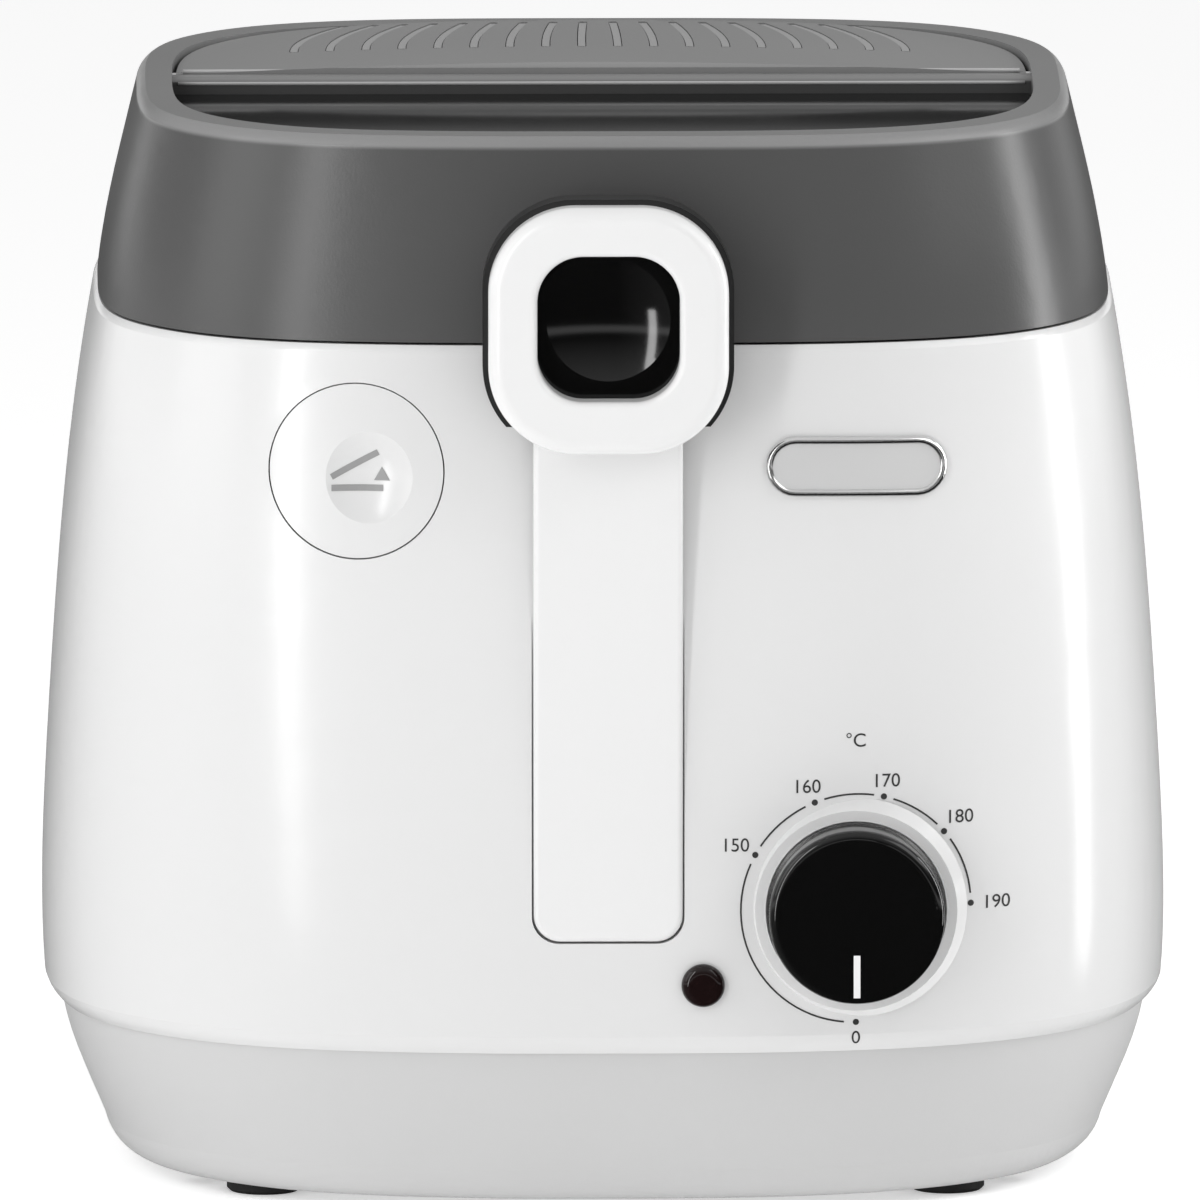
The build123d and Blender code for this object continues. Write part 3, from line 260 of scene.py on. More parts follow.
def make_cells():
    """Two-tone cells with a height, for coats, castings and foam."""
    inputs = [
        ("Tone", "NodeSocketColor", (0.05, 0.05, 0.05, 1.0)),
        ("Cell Tone", "NodeSocketColor", (0.1, 0.1, 0.1, 1.0)),
        ("Cell Scale", "NodeSocketFloat", 600.0),
        ("Depth", "NodeSocketFloat", 0.3),
    ]
    outputs = [("Color", "NodeSocketColor"), ("Mask", "NodeSocketFloat"), ("Normal", "NodeSocketVector")]
    group, entry, leave = new_group("peppered_cells", inputs, outputs)
    links = group.links
    place = add_node(group, "ShaderNodeTexCoord")
    cells = add_node(group, "ShaderNodeTexVoronoi")
    links.new(place.outputs["Object"], cells.inputs["Vector"])
    links.new(entry.outputs["Cell Scale"], cells.inputs["Scale"])
    mask = add_node(group, "ShaderNodeMapRange", From_Min=0.15, From_Max=0.55)
    links.new(cells.outputs["Distance"], mask.inputs["Value"])
    blend = add_node(group, "ShaderNodeMix", data_type="RGBA")
    links.new(mask.outputs["Result"], blend.inputs["Factor"])
    links.new(entry.outputs["Cell Tone"], blend.inputs["A"])
    links.new(entry.outputs["Tone"], blend.inputs["B"])
    bump = add_node(group, "ShaderNodeBump", Distance=0.0003)
    links.new(entry.outputs["Depth"], bump.inputs["Strength"])
    links.new(mask.outputs["Result"], bump.inputs["Height"])
    links.new(blend.outputs["Result"], leave.inputs["Color"])
    links.new(mask.outputs["Result"], leave.inputs["Mask"])
    links.new(bump.outputs["Normal"], leave.inputs["Normal"])
    return group


peppered_cells = make_cells()
print("group", peppered_cells.name)

# %% [markdown]
# ## Finishes
#
# One short function makes a material from a group: the group feeds colour, gloss and bump, and the clear
# coat, sheen and other plain numbers are set straight on the Principled shader.

# %% Material builders


def new_material(name):
    """A material with its Principled shader."""
    material = bpy.data.materials.new(name)
    material.use_nodes = True
    shader = material.node_tree.nodes["Principled BSDF"]
    return material, material.node_tree, shader


def grouped(name, group, inputs, fed, plain):
    """A material whose shader takes the named sockets from a group, and plain numbers on its own."""
    material, tree, shader = new_material(name)
    effect = add_node(tree, "ShaderNodeGroup", node_tree=group)
    for label, value in inputs.items():
        effect.inputs[label].default_value = value
    for output, socket in fed.items():
        tree.links.new(effect.outputs[output], shader.inputs[socket])
    for label, value in plain.items():
        shader.inputs[label.replace("_", " ")].default_value = value
    return material


COLOUR_AND_NORMAL = {"Color": "Base Color", "Normal": "Normal"}
ALL_THREE = {"Color": "Base Color", "Roughness": "Roughness", "Normal": "Normal"}


def moulded(name, tone, gloss, drift=0.03, grain=900.0, height=0.08, **plain):
    """An injection moulded plastic. Its gloss is one number, or a low and a high to drift between."""
    inputs = {"Tone": (*tone, 1.0), "Tone Drift": drift, "Grain Scale": grain, "Grain Height": height}
    if isinstance(gloss, tuple):
        inputs["Gloss Low"], inputs["Gloss High"] = gloss
        return grouped(name, moulded_skin, inputs, ALL_THREE, plain)
    return grouped(name, moulded_skin, inputs, COLOUR_AND_NORMAL, {"Roughness": gloss, **plain})


def metal(name, tone, gloss, depth):
    """A worked metal."""
    inputs = {"Tone": (*tone, 1.0), "Gloss Low": gloss[0], "Gloss High": gloss[1], "Line Depth": depth}
    return grouped(name, worked_metal, inputs, ALL_THREE, {"Metallic": 1.0})


def peppered(name, tone, cell_tone, scale, depth, **plain):
    """A coat, casting or foam with small cells."""
    inputs = {"Tone": (*tone, 1.0), "Cell Tone": (*cell_tone, 1.0), "Cell Scale": scale, "Depth": depth}
    return grouped(name, peppered_cells, inputs, COLOUR_AND_NORMAL, plain)


def grey(level):
    """A neutral tone."""
    return (level, level, level)


print("builders", [builder.__name__ for builder in (moulded, metal, peppered)])

# %% [markdown]
# The body is a glossy white moulding, the base a softer light grey and the lid a dark satin grey whose
# finer grain spreads the lamps into tall soft bands. The knob and the thumb slide are polished black.
# The window is a dark tinted pane.

# %% Materials of the outside
body_coat = {"Coat_Weight": 0.2, "Coat_Roughness": 0.15}
handle_coat = {"Coat_Weight": 0.2, "Coat_Roughness": 0.2}
body_white = moulded("white_gloss_moulding", grey(0.735), 0.245, 0.003, 700.0, 0.03, **body_coat)
# The handle is the body's white moulding in a lighter tone: painted light, for the strip and ring that stand
# out into the light.
lit_handle_white = moulded("white_handle_painted_lighter", grey(0.80), 0.27, 0.003, 800.0, 0.03, **handle_coat)
base_grey = moulded("light_grey_moulding", grey(0.585), 0.41, 0.01, 1100.0, 0.12)
LID_TONE, TOP_LIT_RIM_TONE = grey(0.078), grey(0.25)
lid_grey = moulded("dark_grey_satin_moulding", LID_TONE, (0.29, 0.34), 0.05, 1400.0, 0.12)
cover_grey = moulded("mid_grey_satin_moulding", grey(0.27), (0.40, 0.48), 0.04, 1400.0, 0.16)
highlight_grey = moulded("painted_edge_highlight", grey(0.5), (0.28, 0.36), 0.02, 1400.0, 0.04)
louvre_grey = moulded("pale_louvre_moulding", grey(0.40), (0.35, 0.45), 0.03, 1400.0, 0.1)
black_gloss = moulded("black_polished_moulding", grey(0.003), (0.08, 0.12), 0.2, 500.0, 0.01)
black_satin = moulded("black_satin_moulding", grey(0.012), (0.35, 0.45), 0.2, 900.0, 0.1)
heatproof = moulded("heatproof_moulding", (0.035, 0.028, 0.022), (0.5, 0.6), 0.2, 500.0, 0.2)
pointer_white = moulded("white_pointer_fill", grey(0.85), (0.3, 0.4), 0.03, 900.0, 0.05)
print_grey = moulded("dial_print_ink", grey(0.035), (0.45, 0.6), 0.2, 3000.0, 0.05)
icon_grey = moulded("icon_print_ink", grey(0.33), (0.4, 0.5), 0.1, 3000.0, 0.05)
rubber = moulded("foot_rubber", grey(0.018), (0.7, 0.85), 0.3, 1500.0, 0.4)
seal_rubber = moulded("silicone_seal", grey(0.28), (0.5, 0.6), 0.08, 900.0, 0.1)
insulation = moulded("glass_sleeve", (0.55, 0.5, 0.42), (0.6, 0.75), 0.15, 1800.0, 0.5)
print("outside finishes", body_white.name, base_grey.name, lid_grey.name)

# %% [markdown]
# The lid is one dark grey moulding. Its top rim is painted the paler grey of the filter cover, a painted
# light for the face that looks up into the light. A blend on the height in object space moves from one tone
# to the other just under the rim.

# %% Painted light on the lid's rim, by a blend of two tones


def blend_along(material, axis, start, end, first, second):
    """A tone that changes along an object axis, between two places in metres."""
    tree = material.node_tree
    place = add_node(tree, "ShaderNodeTexCoord")
    split = add_node(tree, "ShaderNodeSeparateXYZ")
    share = add_node(tree, "ShaderNodeMapRange", From_Min=start, From_Max=end)
    share.interpolation_type = "SMOOTHSTEP"
    mix = add_node(tree, "ShaderNodeMix", data_type="RGBA")
    mix.inputs["A"].default_value = (*first, 1.0)
    mix.inputs["B"].default_value = (*second, 1.0)
    tree.links.new(place.outputs["Object"], split.inputs["Vector"])
    tree.links.new(split.outputs[axis], share.inputs["Value"])
    tree.links.new(share.outputs["Result"], mix.inputs["Factor"])
    return mix.outputs["Result"]


lid_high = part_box("lid_shell")[1][2]
turn_low, turn_high = lid_high - 3.4 * MM, lid_high - 2.0 * MM
# Painted light: the top of the lid's rim turns to a paler grey, standing for the light that falls on its
# upward face.
painted_rim_light = blend_along(lid_grey, "Z", turn_low, turn_high, LID_TONE, TOP_LIT_RIM_TONE)
lid_skin = next(node for node in lid_grey.node_tree.nodes if node.type == "GROUP")
lid_grey.node_tree.links.new(painted_rim_light, lid_skin.inputs["Tone"])
print("lid tone turns between", round(turn_low, 4), "and", round(turn_high, 4))

# %% [markdown]
# The metals differ in tone, in gloss and in how deep their lines are. The castings, the bowl's coat and the
# filter's foam share the cells. A picture of each would show seams; noise in object space has none.

# %% Metals, coat and foam
steel = metal("drawn_steel", grey(0.62), (0.22, 0.36), 0.15)
wire_steel = metal("bright_wire", grey(0.68), (0.14, 0.24), 0.08)
chrome = metal("silvery_trim", grey(0.80), (0.16, 0.24), 0.03)
badge_satin = moulded("badge_satin", grey(0.58), (0.34, 0.42), 0.02, 1500.0, 0.05)
cast_aluminium = peppered("cast_aluminium", grey(0.62), grey(0.5), 900.0, 0.25, Metallic=1.0, Roughness=0.42)
bowl_coat = peppered("non_stick_coat", grey(0.03), grey(0.07), 1400.0, 0.2, Roughness=0.34)
filter_foam = peppered("filter_foam", grey(0.035), grey(0.004), 900.0, 1.0, Roughness=0.95)
print("metals", steel.name, wire_steel.name, chrome.name, cast_aluminium.name)

# %% [markdown]
# The window and the lamp are dark panes. Clear glass over a black tint would need a deep model behind it, so
# the tint is the shader's own base colour and only a small share of light passes. A reflection is painted on
# the window's tint: from the front edge back it fades from a pale haze to near black, as a bright ceiling
# mirrored in a tinted pane would.

# %% Window and lamp glass


def tinted_glass(name, tone, gloss, share):
    """Dark glass: mostly a body colour, with a share that lets light through."""
    material, tree, shader = new_material(name)
    tree.links.new(spread(tree, noise(tree, 30.0, detail=2.0), *gloss), shader.inputs["Roughness"])
    shader.inputs["Base Color"].default_value = (*tone, 1.0)
    shader.inputs["Transmission Weight"].default_value = share
    shader.inputs["IOR"].default_value = 1.5
    shader.inputs["Specular IOR Level"].default_value = 0.3
    return material


window_glass = tinted_glass("smoked_window", grey(0.006), (0.06, 0.10), 0.03)
# Painted reflection: the pane's base colour runs from a pale haze at the front edge to near black at the
# back, standing for the bright ceiling mirrored in it.
pane_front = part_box("window_pane")[0][1]
reflection_fade_start, reflection_fade_end = pane_front + 2 * MM, pane_front + 62 * MM
painted_reflection_tone = blend_along(window_glass, "Y", reflection_fade_start, reflection_fade_end, grey(0.30), grey(0.004))
pane_shader = window_glass.node_tree.nodes["Principled BSDF"]
window_glass.node_tree.links.new(painted_reflection_tone, pane_shader.inputs["Base Color"])
lamp_glass = tinted_glass("dark_lamp_lens", (0.012, 0.006, 0.006), (0.05, 0.08), 0.2)
print("window fades between", round(reflection_fade_start, 4), "and", round(reflection_fade_end, 4))

# %% [markdown]
# Every imported node has the right shape already, so it keeps its mesh and only gets a finish. The record
# names a material slot for each node, and a table turns that slot into a material. Four nodes that share a
# slot with their neighbours get a finish of their own; the handle's is the body's white painted lighter, as
# painted light.

# %% Hand the finishes to the imported nodes
finish_of_slot = {
    "body_white": body_white,
    "base_grey": base_grey,
    "lid_grey": lid_grey,
    "cover_grey": cover_grey,
    "black_gloss": black_gloss,
    "black_plastic": black_satin,
    "heatproof": heatproof,
    "foot_rubber": rubber,
    "seal_rubber": seal_rubber,
    "steel": steel,
    "chrome_trim": chrome,
    "aluminium": cast_aluminium,
    "bowl_coat": bowl_coat,
    "window_glass": window_glass,
    "lamp_glass": lamp_glass,
    "filter_foam": filter_foam,
    "pointer_white": pointer_white,
    "wire_insulation": insulation,
}
own_finish = {
    "handle_strip": lit_handle_white,
    "handle_bezel": lit_handle_white,
    "lid_button": body_white,
    "badge_plate": badge_satin,
}


def finish(mesh, material):
    """Makes one material the only finish of a mesh."""
    mesh.materials.clear()
    mesh.materials.append(material)


for part in frame["record"]["subparts"]:
    name = part["node"]
    finish(nodes[name].data, own_finish.get(name, finish_of_slot[part["material_slot"]]))

# %% [markdown]
# ## Print on the body
#
# Ink lies on the moulding, so each mark is drawn flat in front of the body and then every vertex is sent
# straight back onto the skin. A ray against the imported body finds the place, and the mark keeps a film's
# thickness so that it reads as a real layer.

# %% Projection onto a skin
INK = 0.00008


def skin_of(*names):
    """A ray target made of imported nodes."""
    mesh = bmesh.new()
    for name in names:
        mesh.from_mesh(nodes[name].data)
    tree = BVHTree.FromBMesh(mesh)
    mesh.free()
    return tree


body_skin = skin_of("body_shell")
button_skin = skin_of("lid_button")


def front_of(skin, x, z):
    """The Y of the first skin met when looking back from the front, or else of the body's front."""
    start = Vector((x, cad_box[0][1] - 0.05, z))
    spot = skin.ray_cast(start, Vector((0, 1, 0)))[0]
    return spot.y if spot else body_low.y


def in_scene(name, mesh, material):
    """A finished mesh as an object of the scene."""
    finish(mesh, material)
    piece = bpy.data.objects.new(name, mesh)
    bpy.context.scene.collection.objects.link(piece)
    return piece


def mesh_piece(name, corners, faces, material, body):
    """A mesh object with a finish, riding a body."""
    mesh = bpy.data.meshes.new(name)
    mesh.from_pydata(corners, [], faces)
    mesh.update()
    piece = in_scene(name, mesh, material)
    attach(piece, body)
    return piece


def printed(name, outlines, skin, material, body):
    """Flat outlines, given as (x, z) loops, laid on a skin as a thin solid film."""
    corners = []
    faces = []
    for outline in outlines:
        count = len(outline)
        first = len(corners)
        for lift in (INK, -INK):
            for x, z in outline:
                corners.append((x, front_of(skin, x, z) - lift, z))
        faces.append(list(range(first, first + count)))
        faces.append(list(range(first + 2 * count - 1, first + count - 1, -1)))
        for number in range(count):
            after = (number + 1) % count
            faces.append([first + after, first + number, first + count + number, first + count + after])
    return mesh_piece(name, corners, faces, material, body)


print("ink film", round(2 * INK / MM, 2), "mm")

# %% Outlines of bands and dots


def band(centre, radius, width, start, end, steps):
    """Loops of a circular band, split into short quads; angles run clockwise from the top."""
    loops = []
    for step in range(steps):
        one = math.radians(start + (end - start) * step / steps)
        two = math.radians(start + (end - start) * (step + 1) / steps)
        loop = []
        for angle, reach in ((one, -0.5), (two, -0.5), (two, 0.5), (one, 0.5)):
            far = radius + reach * width
            loop.append((centre[0] + far * math.sin(angle), centre[1] + far * math.cos(angle)))
        loops.append(loop)
    return loops


def disc(centre, radius, steps=20):
    """One round loop."""
    turns = [2 * math.pi * k / steps for k in range(steps)]
    return [(centre[0] + radius * math.cos(turn), centre[1] + radius * math.sin(turn)) for turn in turns]


print("a dot has", len(disc((0, 0), 1)), "corners")

# %% [markdown]
# The dial is printed round the knob: six numerals, and between them an arc that is broken by a small dot at
# each one. Angles run clockwise from the top, as a hand turns the knob. Short quads follow the crown of the
# body where one long face would cut through it.

# %% Dial arc and dots
DIAL_RADIUS = 27.6 * MM
DIAL_LINE = 0.42 * MM
DOT_RADIUS = 0.75 * MM
DOT_ROOM = 5.0
ARC_START = -174
DIAL_CENTRE = (knob_middle.x, knob_middle.z)
DIAL_STOPS = {"150": -61, "160": -21, "170": 14, "180": 50, "190": 90, "0": 180}


def on_dial(angle, radius):
    """A place on the dial's plane."""
    turn = math.radians(angle)
    return (DIAL_CENTRE[0] + radius * math.sin(turn), DIAL_CENTRE[1] + radius * math.cos(turn))


marks = []
angles = list(DIAL_STOPS.values())[:5]
for first, second in zip(angles, angles[1:]):
    marks += band(DIAL_CENTRE, DIAL_RADIUS, DIAL_LINE, first + DOT_ROOM, second - DOT_ROOM, 8)
marks += band(DIAL_CENTRE, DIAL_RADIUS, DIAL_LINE, ARC_START, angles[0] - DOT_ROOM, 26)
for angle in DIAL_STOPS.values():
    marks.append(disc(on_dial(angle, DIAL_RADIUS), DOT_RADIUS))
printed("dial_arc", marks, body_skin, print_grey, "root")
print("dial marks", len(marks))

# %% [markdown]
# Numerals could be an image, but outlines stay sharp at any distance and need no file. Blender's own font
# gives a flat mesh, which is scaled to its height, laid on the skin and then made into a thin solid.

# %% Dial numerals


def lettering(name, text, spot, height, skin, material, body):
    """Characters of a given height, centred on an (x, z) spot and laid on a skin."""
    curve = bpy.data.curves.new(name, "FONT")
    curve.body = text
    curve.size = 1.0
    holder = bpy.data.objects.new(name + "_outline", curve)
    flat = bpy.data.meshes.new_from_object(holder)
    bpy.data.objects.remove(holder)
    low = Vector((min(v.co.x for v in flat.vertices), min(v.co.y for v in flat.vertices)))
    high = Vector((max(v.co.x for v in flat.vertices), max(v.co.y for v in flat.vertices)))
    factor = height / (high.y - low.y)
    mesh = bmesh.new()
    mesh.from_mesh(flat)
    for vertex in mesh.verts:
        x = spot[0] + (vertex.co.x - (low.x + high.x) / 2) * factor
        z = spot[1] + (vertex.co.y - (low.y + high.y) / 2) * factor
        vertex.co = Vector((x, front_of(skin, x, z) - INK, z))
    raised = bmesh.ops.extrude_face_region(mesh, geom=mesh.faces[:])
    for item in raised["geom"]:
        if isinstance(item, bmesh.types.BMVert):
            item.co.y += 2 * INK
    bmesh.ops.recalc_face_normals(mesh, faces=mesh.faces[:])
    mesh.to_mesh(flat)
    mesh.free()
    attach(in_scene(name, flat, material), body)


NUMERAL_HEIGHT, UNIT_HEIGHT = 3.2 * MM, 3.4 * MM
NUMERAL_REACH = {"150": 32.6, "160": 31.8, "170": 31.6, "180": 33.0, "190": 34.2, "0": 31.4}
for text, reach in NUMERAL_REACH.items():
    spot = on_dial(DIAL_STOPS[text], reach * MM)
    lettering("numeral_" + text, text, spot, NUMERAL_HEIGHT, body_skin, print_grey, "root")
heading = (DIAL_CENTRE[0], DIAL_CENTRE[1] + 40.6 * MM)
lettering("unit_mark", "°C", heading, UNIT_HEIGHT, body_skin, print_grey, "root")
print("numerals", len(NUMERAL_REACH), "at", NUMERAL_REACH["150"], "mm and more from the axis")

# %% [markdown]
# The lid button carries a small icon of a lid that opens: a level line for the body, a slanted bar for the
# lid and a short arrow head. It is generic and lies in the button's finger dish, so each bar is cut into
# short quads that can bend with the dish.

# %% Icon of the button


def bar_outline(start, end, width, steps=6):
    """A straight bar as short quads, so that it can follow a dish."""
    start, end = Vector(start), Vector(end)
    side = (end - start).normalized().orthogonal() * width / 2
    loops = []
    for step in range(steps):
        one = start.lerp(end, step / steps)
        two = start.lerp(end, (step + 1) / steps)
        loops.append([tuple(one - side), tuple(two - side), tuple(two + side), tuple(one + side)])
    return loops


def from_button(right, up):
    """A place on the button in millimetres from its middle."""
    return (button_middle.x + right * MM, button_middle.z + up * MM)


ICON_BAR = 1.5 * MM
icon = bar_outline(from_button(-6.0, -4.2), from_button(6.4, -4.2), ICON_BAR)
icon += bar_outline(from_button(-6.0, -1.6), from_button(5.2, 4.4), ICON_BAR)
icon.append([from_button(4.2, -2.4), from_button(8.0, -2.4), from_button(6.1, 0.9)])
button_icon = printed("button_icon", icon, button_skin, icon_grey, "release_button")
print("icon faces", len(button_icon.data.polygons))

# %% [markdown]
# The badge stays bare. Only its shape is kept: a satin plate inside a narrow silvery rim. The rim could be
# a bevelled curve, but the body's front is crowned, so five nested loops are laid on the skin and each is
# lifted by its own amount. Points along the straight sides keep the rim from sinking into the crown.

# %% Badge rim
BADGE_TILT = math.radians(-1.0)
STRAIGHT_STEPS = 12


def stadium(width, height, steps=14):
    """A loop with two round ends, turned by the badge's tilt and set on its middle."""
    radius = height / 2
    straight = width / 2 - radius
    flat = []
    for end, start in ((straight, -math.pi / 2), (-straight, math.pi / 2)):
        for step in range(steps + 1):
            turn = start + math.pi * step / steps
            flat.append((end + radius * math.cos(turn), radius * math.sin(turn)))
        for step in range(1, STRAIGHT_STEPS):
            share = step / STRAIGHT_STEPS
            flat.append((end * (1 - 2 * share), radius if end > 0 else -radius))
    loop = []
    for right, up in flat:
        x = right * math.cos(BADGE_TILT) - up * math.sin(BADGE_TILT)
        z = right * math.sin(BADGE_TILT) + up * math.cos(BADGE_TILT)
        loop.append((badge_middle.x + x, badge_middle.z + z))
    return loop


def swept_rim(name, loops, lifts, skin, material, body):
    """A rim from nested loops, each lifted off the skin by its own amount."""
    count = len(loops[0])
    corners = []
    for loop, lift in zip(loops, lifts):
        corners += [(x, front_of(skin, x, z) - lift, z) for x, z in loop]
    faces = []
    for ring in range(len(loops) - 1):
        for number in range(count):
            after = (number + 1) % count
            a, b = ring * count, (ring + 1) * count
            faces.append([a + number, a + after, b + after, b + number])
    piece = mesh_piece(name, corners, faces, material, body)
    piece.data.shade_smooth()
    return piece


badge_width, badge_height = size("badge_plate").x, 14.2 * MM
RIM_PROFILE = ((0.1, 0.0), (0.4, 0.4), (0.9, 0.6), (1.4, 0.4), (1.7, 0.0))
badge_loops = [stadium(badge_width - 2 * cut * MM, badge_height - 2 * cut * MM) for cut, lift in RIM_PROFILE]
badge_lifts = [lift * MM for cut, lift in RIM_PROFILE]
badge_skin = skin_of("badge_plate", "body_shell")
badge_rim = swept_rim("badge_rim", badge_loops, badge_lifts, badge_skin, chrome, "root")
print("badge rim", len(badge_rim.data.polygons), "faces")

# %% [markdown]
# Each steam slot of the filter cover holds a pale louvre that stands just below the surface. The slots run
# in arcs and close in towards the back, so every louvre is a thin bent bar that follows its own slot.

# %% Louvres of the steam slots
SLOTS = 18
SLOT_PITCH = 8.7 * MM
SLOT_FRONT, SLOT_BACK = 43.8 * MM, 83.2 * MM
NARROWING = 0.83
CROWN_RADIUS = 2.0
CROWN_MIDDLE = 54.5 * MM
LOUVRE_STEPS = 12
LOUVRE_HALF, LOUVRE_DEPTH, LOUVRE_SINK = 0.9 * MM, 1.2 * MM, 0.15 * MM
cover_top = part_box("filter_cover")[1][2]


def built(name, shape, material):
    """A bmesh turned into a finished object of the scene."""
    mesh = bpy.data.meshes.new(name)
    shape.to_mesh(mesh)
    shape.free()
    return in_scene(name, mesh, material)


def louvre(mesh, x):
    """A bent bar in the slot that starts at x."""
    rows = []
    for step in range(LOUVRE_STEPS + 1):
        share = step / LOUVRE_STEPS
        across = x * (1 - (1 - NARROWING) * share**2)
        along = SLOT_FRONT + (SLOT_BACK - SLOT_FRONT) * share
        crown = (across**2 + (along - CROWN_MIDDLE) ** 2) / (2 * CROWN_RADIUS)
        top = cover_top - crown - LOUVRE_SINK
        rows.append([
            mesh.verts.new((across + side * LOUVRE_HALF, along, top - low * LOUVRE_DEPTH))
            for side, low in ((-1, 0), (1, 0), (1, 1), (-1, 1))
        ])
    for one, two in zip(rows, rows[1:]):
        for k in range(4):
            mesh.faces.new([one[k], one[(k + 1) % 4], two[(k + 1) % 4], two[k]])
    mesh.faces.new(list(reversed(rows[0])))
    mesh.faces.new(rows[-1])


louvres = bmesh.new()
for number in range(SLOTS):
    louvre(louvres, SLOT_PITCH * (number - (SLOTS - 1) / 2))
bmesh.ops.recalc_face_normals(louvres, faces=louvres.faces[:])
steam_louvres = built("steam_louvres", louvres, louvre_grey)
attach(steam_louvres, "filter_cover")
print("louvres", SLOTS)

# %% [markdown]
# ## Wire basket
#
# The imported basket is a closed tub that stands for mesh. Here it becomes what it is: two heavier hoops, a
# net of bright wires down the sides and across the floor, all inside the tub's own outline. Curves with a
# bevel would do, but one bmesh of plain tubes is lighter and its faces can be counted.

# %% Wire helpers
basket_low, basket_high = (Vector(corner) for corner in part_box("basket"))
rim_low, rim_high = (Vector(corner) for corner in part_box("basket_rim"))


SQUARENESS = 3.5
TILTED = Vector((0.13, 0.31, 0.94))


def oval_path(side, front, z, steps):
    """Places at one height on the rounded rectangle that the fryer's plan follows."""
    return [oval_point(2 * math.pi * step / steps, side, front, z) for step in range(steps)]


def oval_point(turn, side, front, z):
    """One place on that rounded rectangle."""
    stretch = abs(math.cos(turn) / side) ** SQUARENESS + abs(math.sin(turn) / front) ** SQUARENESS
    radius = stretch ** (-1 / SQUARENESS)
    return Vector((radius * math.cos(turn), radius * math.sin(turn), z))


def add_wire(mesh, path, radius, closed=False, sides=6):
    """One wire along a path, as a tube in a bmesh."""
    rings = []
    count = len(path)
    for number, spot in enumerate(path):
        before = path[number - 1] if closed or number else spot
        after = path[(number + 1) % count] if closed or number < count - 1 else spot
        along = (after - before).normalized()
        across = along.cross(TILTED).normalized()
        up = along.cross(across)
        turns = [2 * math.pi * k / sides for k in range(sides)]
        ring = [spot + (across * math.cos(turn) + up * math.sin(turn)) * radius for turn in turns]
        rings.append([mesh.verts.new(corner) for corner in ring])
    last = count if closed else count - 1
    for number in range(last):
        one, two = rings[number], rings[(number + 1) % count]
        for k in range(sides):
            face = mesh.faces.new([one[k], one[(k + 1) % sides], two[(k + 1) % sides], two[k]])
            face.smooth = True
    if not closed:
        mesh.faces.new(list(reversed(rings[0])))
        mesh.faces.new(rings[-1])


print("tub top", round(basket_high.z, 4), "rim top", round(rim_high.z, 4))

# %% [markdown]
# The real basket is welded from rings and uprights. The rings follow the tub's wall, which leans in towards
# the floor, and one more ring lies low where the wall turns into the floor.

# %% Rings round the side
NET = 0.55 * MM
NET_PITCH = 6.4 * MM
WALL_DRAFT = 6.0 * MM
side_top = basket_high.x - NET
front_top = basket_high.y - NET
floor_z = basket_low.z + NET
FLOOR_ROUND = ((0.0, 8.0), (1.6, 4.0), (4.5, 1.2), (8.0, 0.0))


def tub_size(z):
    """Half sizes of the tub's wall at a height."""
    share = (basket_high.z - z) / (basket_high.z - basket_low.z)
    return side_top - WALL_DRAFT * share, front_top - WALL_DRAFT * share


def ring(mesh, z, inset=0.0):
    """A closed wire round the tub."""
    side, front = tub_size(z)
    add_wire(mesh, oval_path(side - inset, front - inset, z, 120), NET, closed=True)


net = bmesh.new()
heights = []
z = floor_z + FLOOR_ROUND[-1][0] * MM
while z < basket_high.z - 4 * MM:
    ring(net, z)
    heights.append(z)
    z += NET_PITCH
low_ring, low_inset = FLOOR_ROUND[1]
ring(net, floor_z + low_ring * MM, inset=low_inset * MM)
print("side rings", len(heights) + 1)

# %% [markdown]
# Each upright is one wire from the floor to the rim. A table of heights and insets, in millimetres, rounds
# its foot, so that all of them bend alike.

# %% Uprights
UPRIGHTS = 104
upright_top = basket_high.z - 2 * MM
for number in range(UPRIGHTS):
    turn = 2 * math.pi * number / UPRIGHTS
    path = []
    for rise, inset in FLOOR_ROUND:
        height = floor_z + rise * MM
        side, front = tub_size(height)
        path.append(oval_point(turn, side - inset * MM, front - inset * MM, height))
    path.append(oval_point(turn, *tub_size(upright_top), upright_top))
    add_wire(net, path, NET, sides=5)
print("uprights", UPRIGHTS)

# %% [markdown]
# Two layers of straight wires cross on the floor. Each one ends where it meets the rounded outline, which
# the outline's own formula gives.

# %% Floor of the basket
floor_side, floor_front = (value - FLOOR_ROUND[0][1] * MM for value in tub_size(floor_z))
for along_x in (True, False):
    reach, limit = (floor_side, floor_front) if along_x else (floor_front, floor_side)
    count = int(2 * limit / NET_PITCH)
    for number in range(1, count):
        offset = -limit + 2 * limit * number / count
        end = reach * (1 - abs(offset / limit) ** SQUARENESS) ** (1 / SQUARENESS)
        if along_x:
            ends = [Vector((side * end, offset, floor_z + 0.6 * MM)) for side in (-1, 1)]
        else:
            ends = [Vector((offset, side * end, floor_z)) for side in (-1, 1)]
        add_wire(net, ends, NET, sides=5)
print("floor", round(floor_side, 4), "by", round(floor_front, 4))

# %% [markdown]
# A heavy hoop carries the net at the top and a thinner one lies under it. The finished net then takes the
# place of the closed tub and its rim, which stay in the physics.

# %% Hoops and the whole basket
HOOP, LOW_HOOP = 1.9 * MM, 0.8 * MM
for height, radius in ((rim_high.z - HOOP, HOOP), (rim_low.z + LOW_HOOP, LOW_HOOP)):
    path = oval_path(rim_high.x - HOOP, rim_high.y - HOOP, height, 144)
    add_wire(net, path, radius, closed=True, sides=10)
wire_basket = built("wire_basket", net, wire_steel)
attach(wire_basket, "carriage")
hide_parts("basket", "basket_rim")
print("basket faces", len(wire_basket.data.polygons))

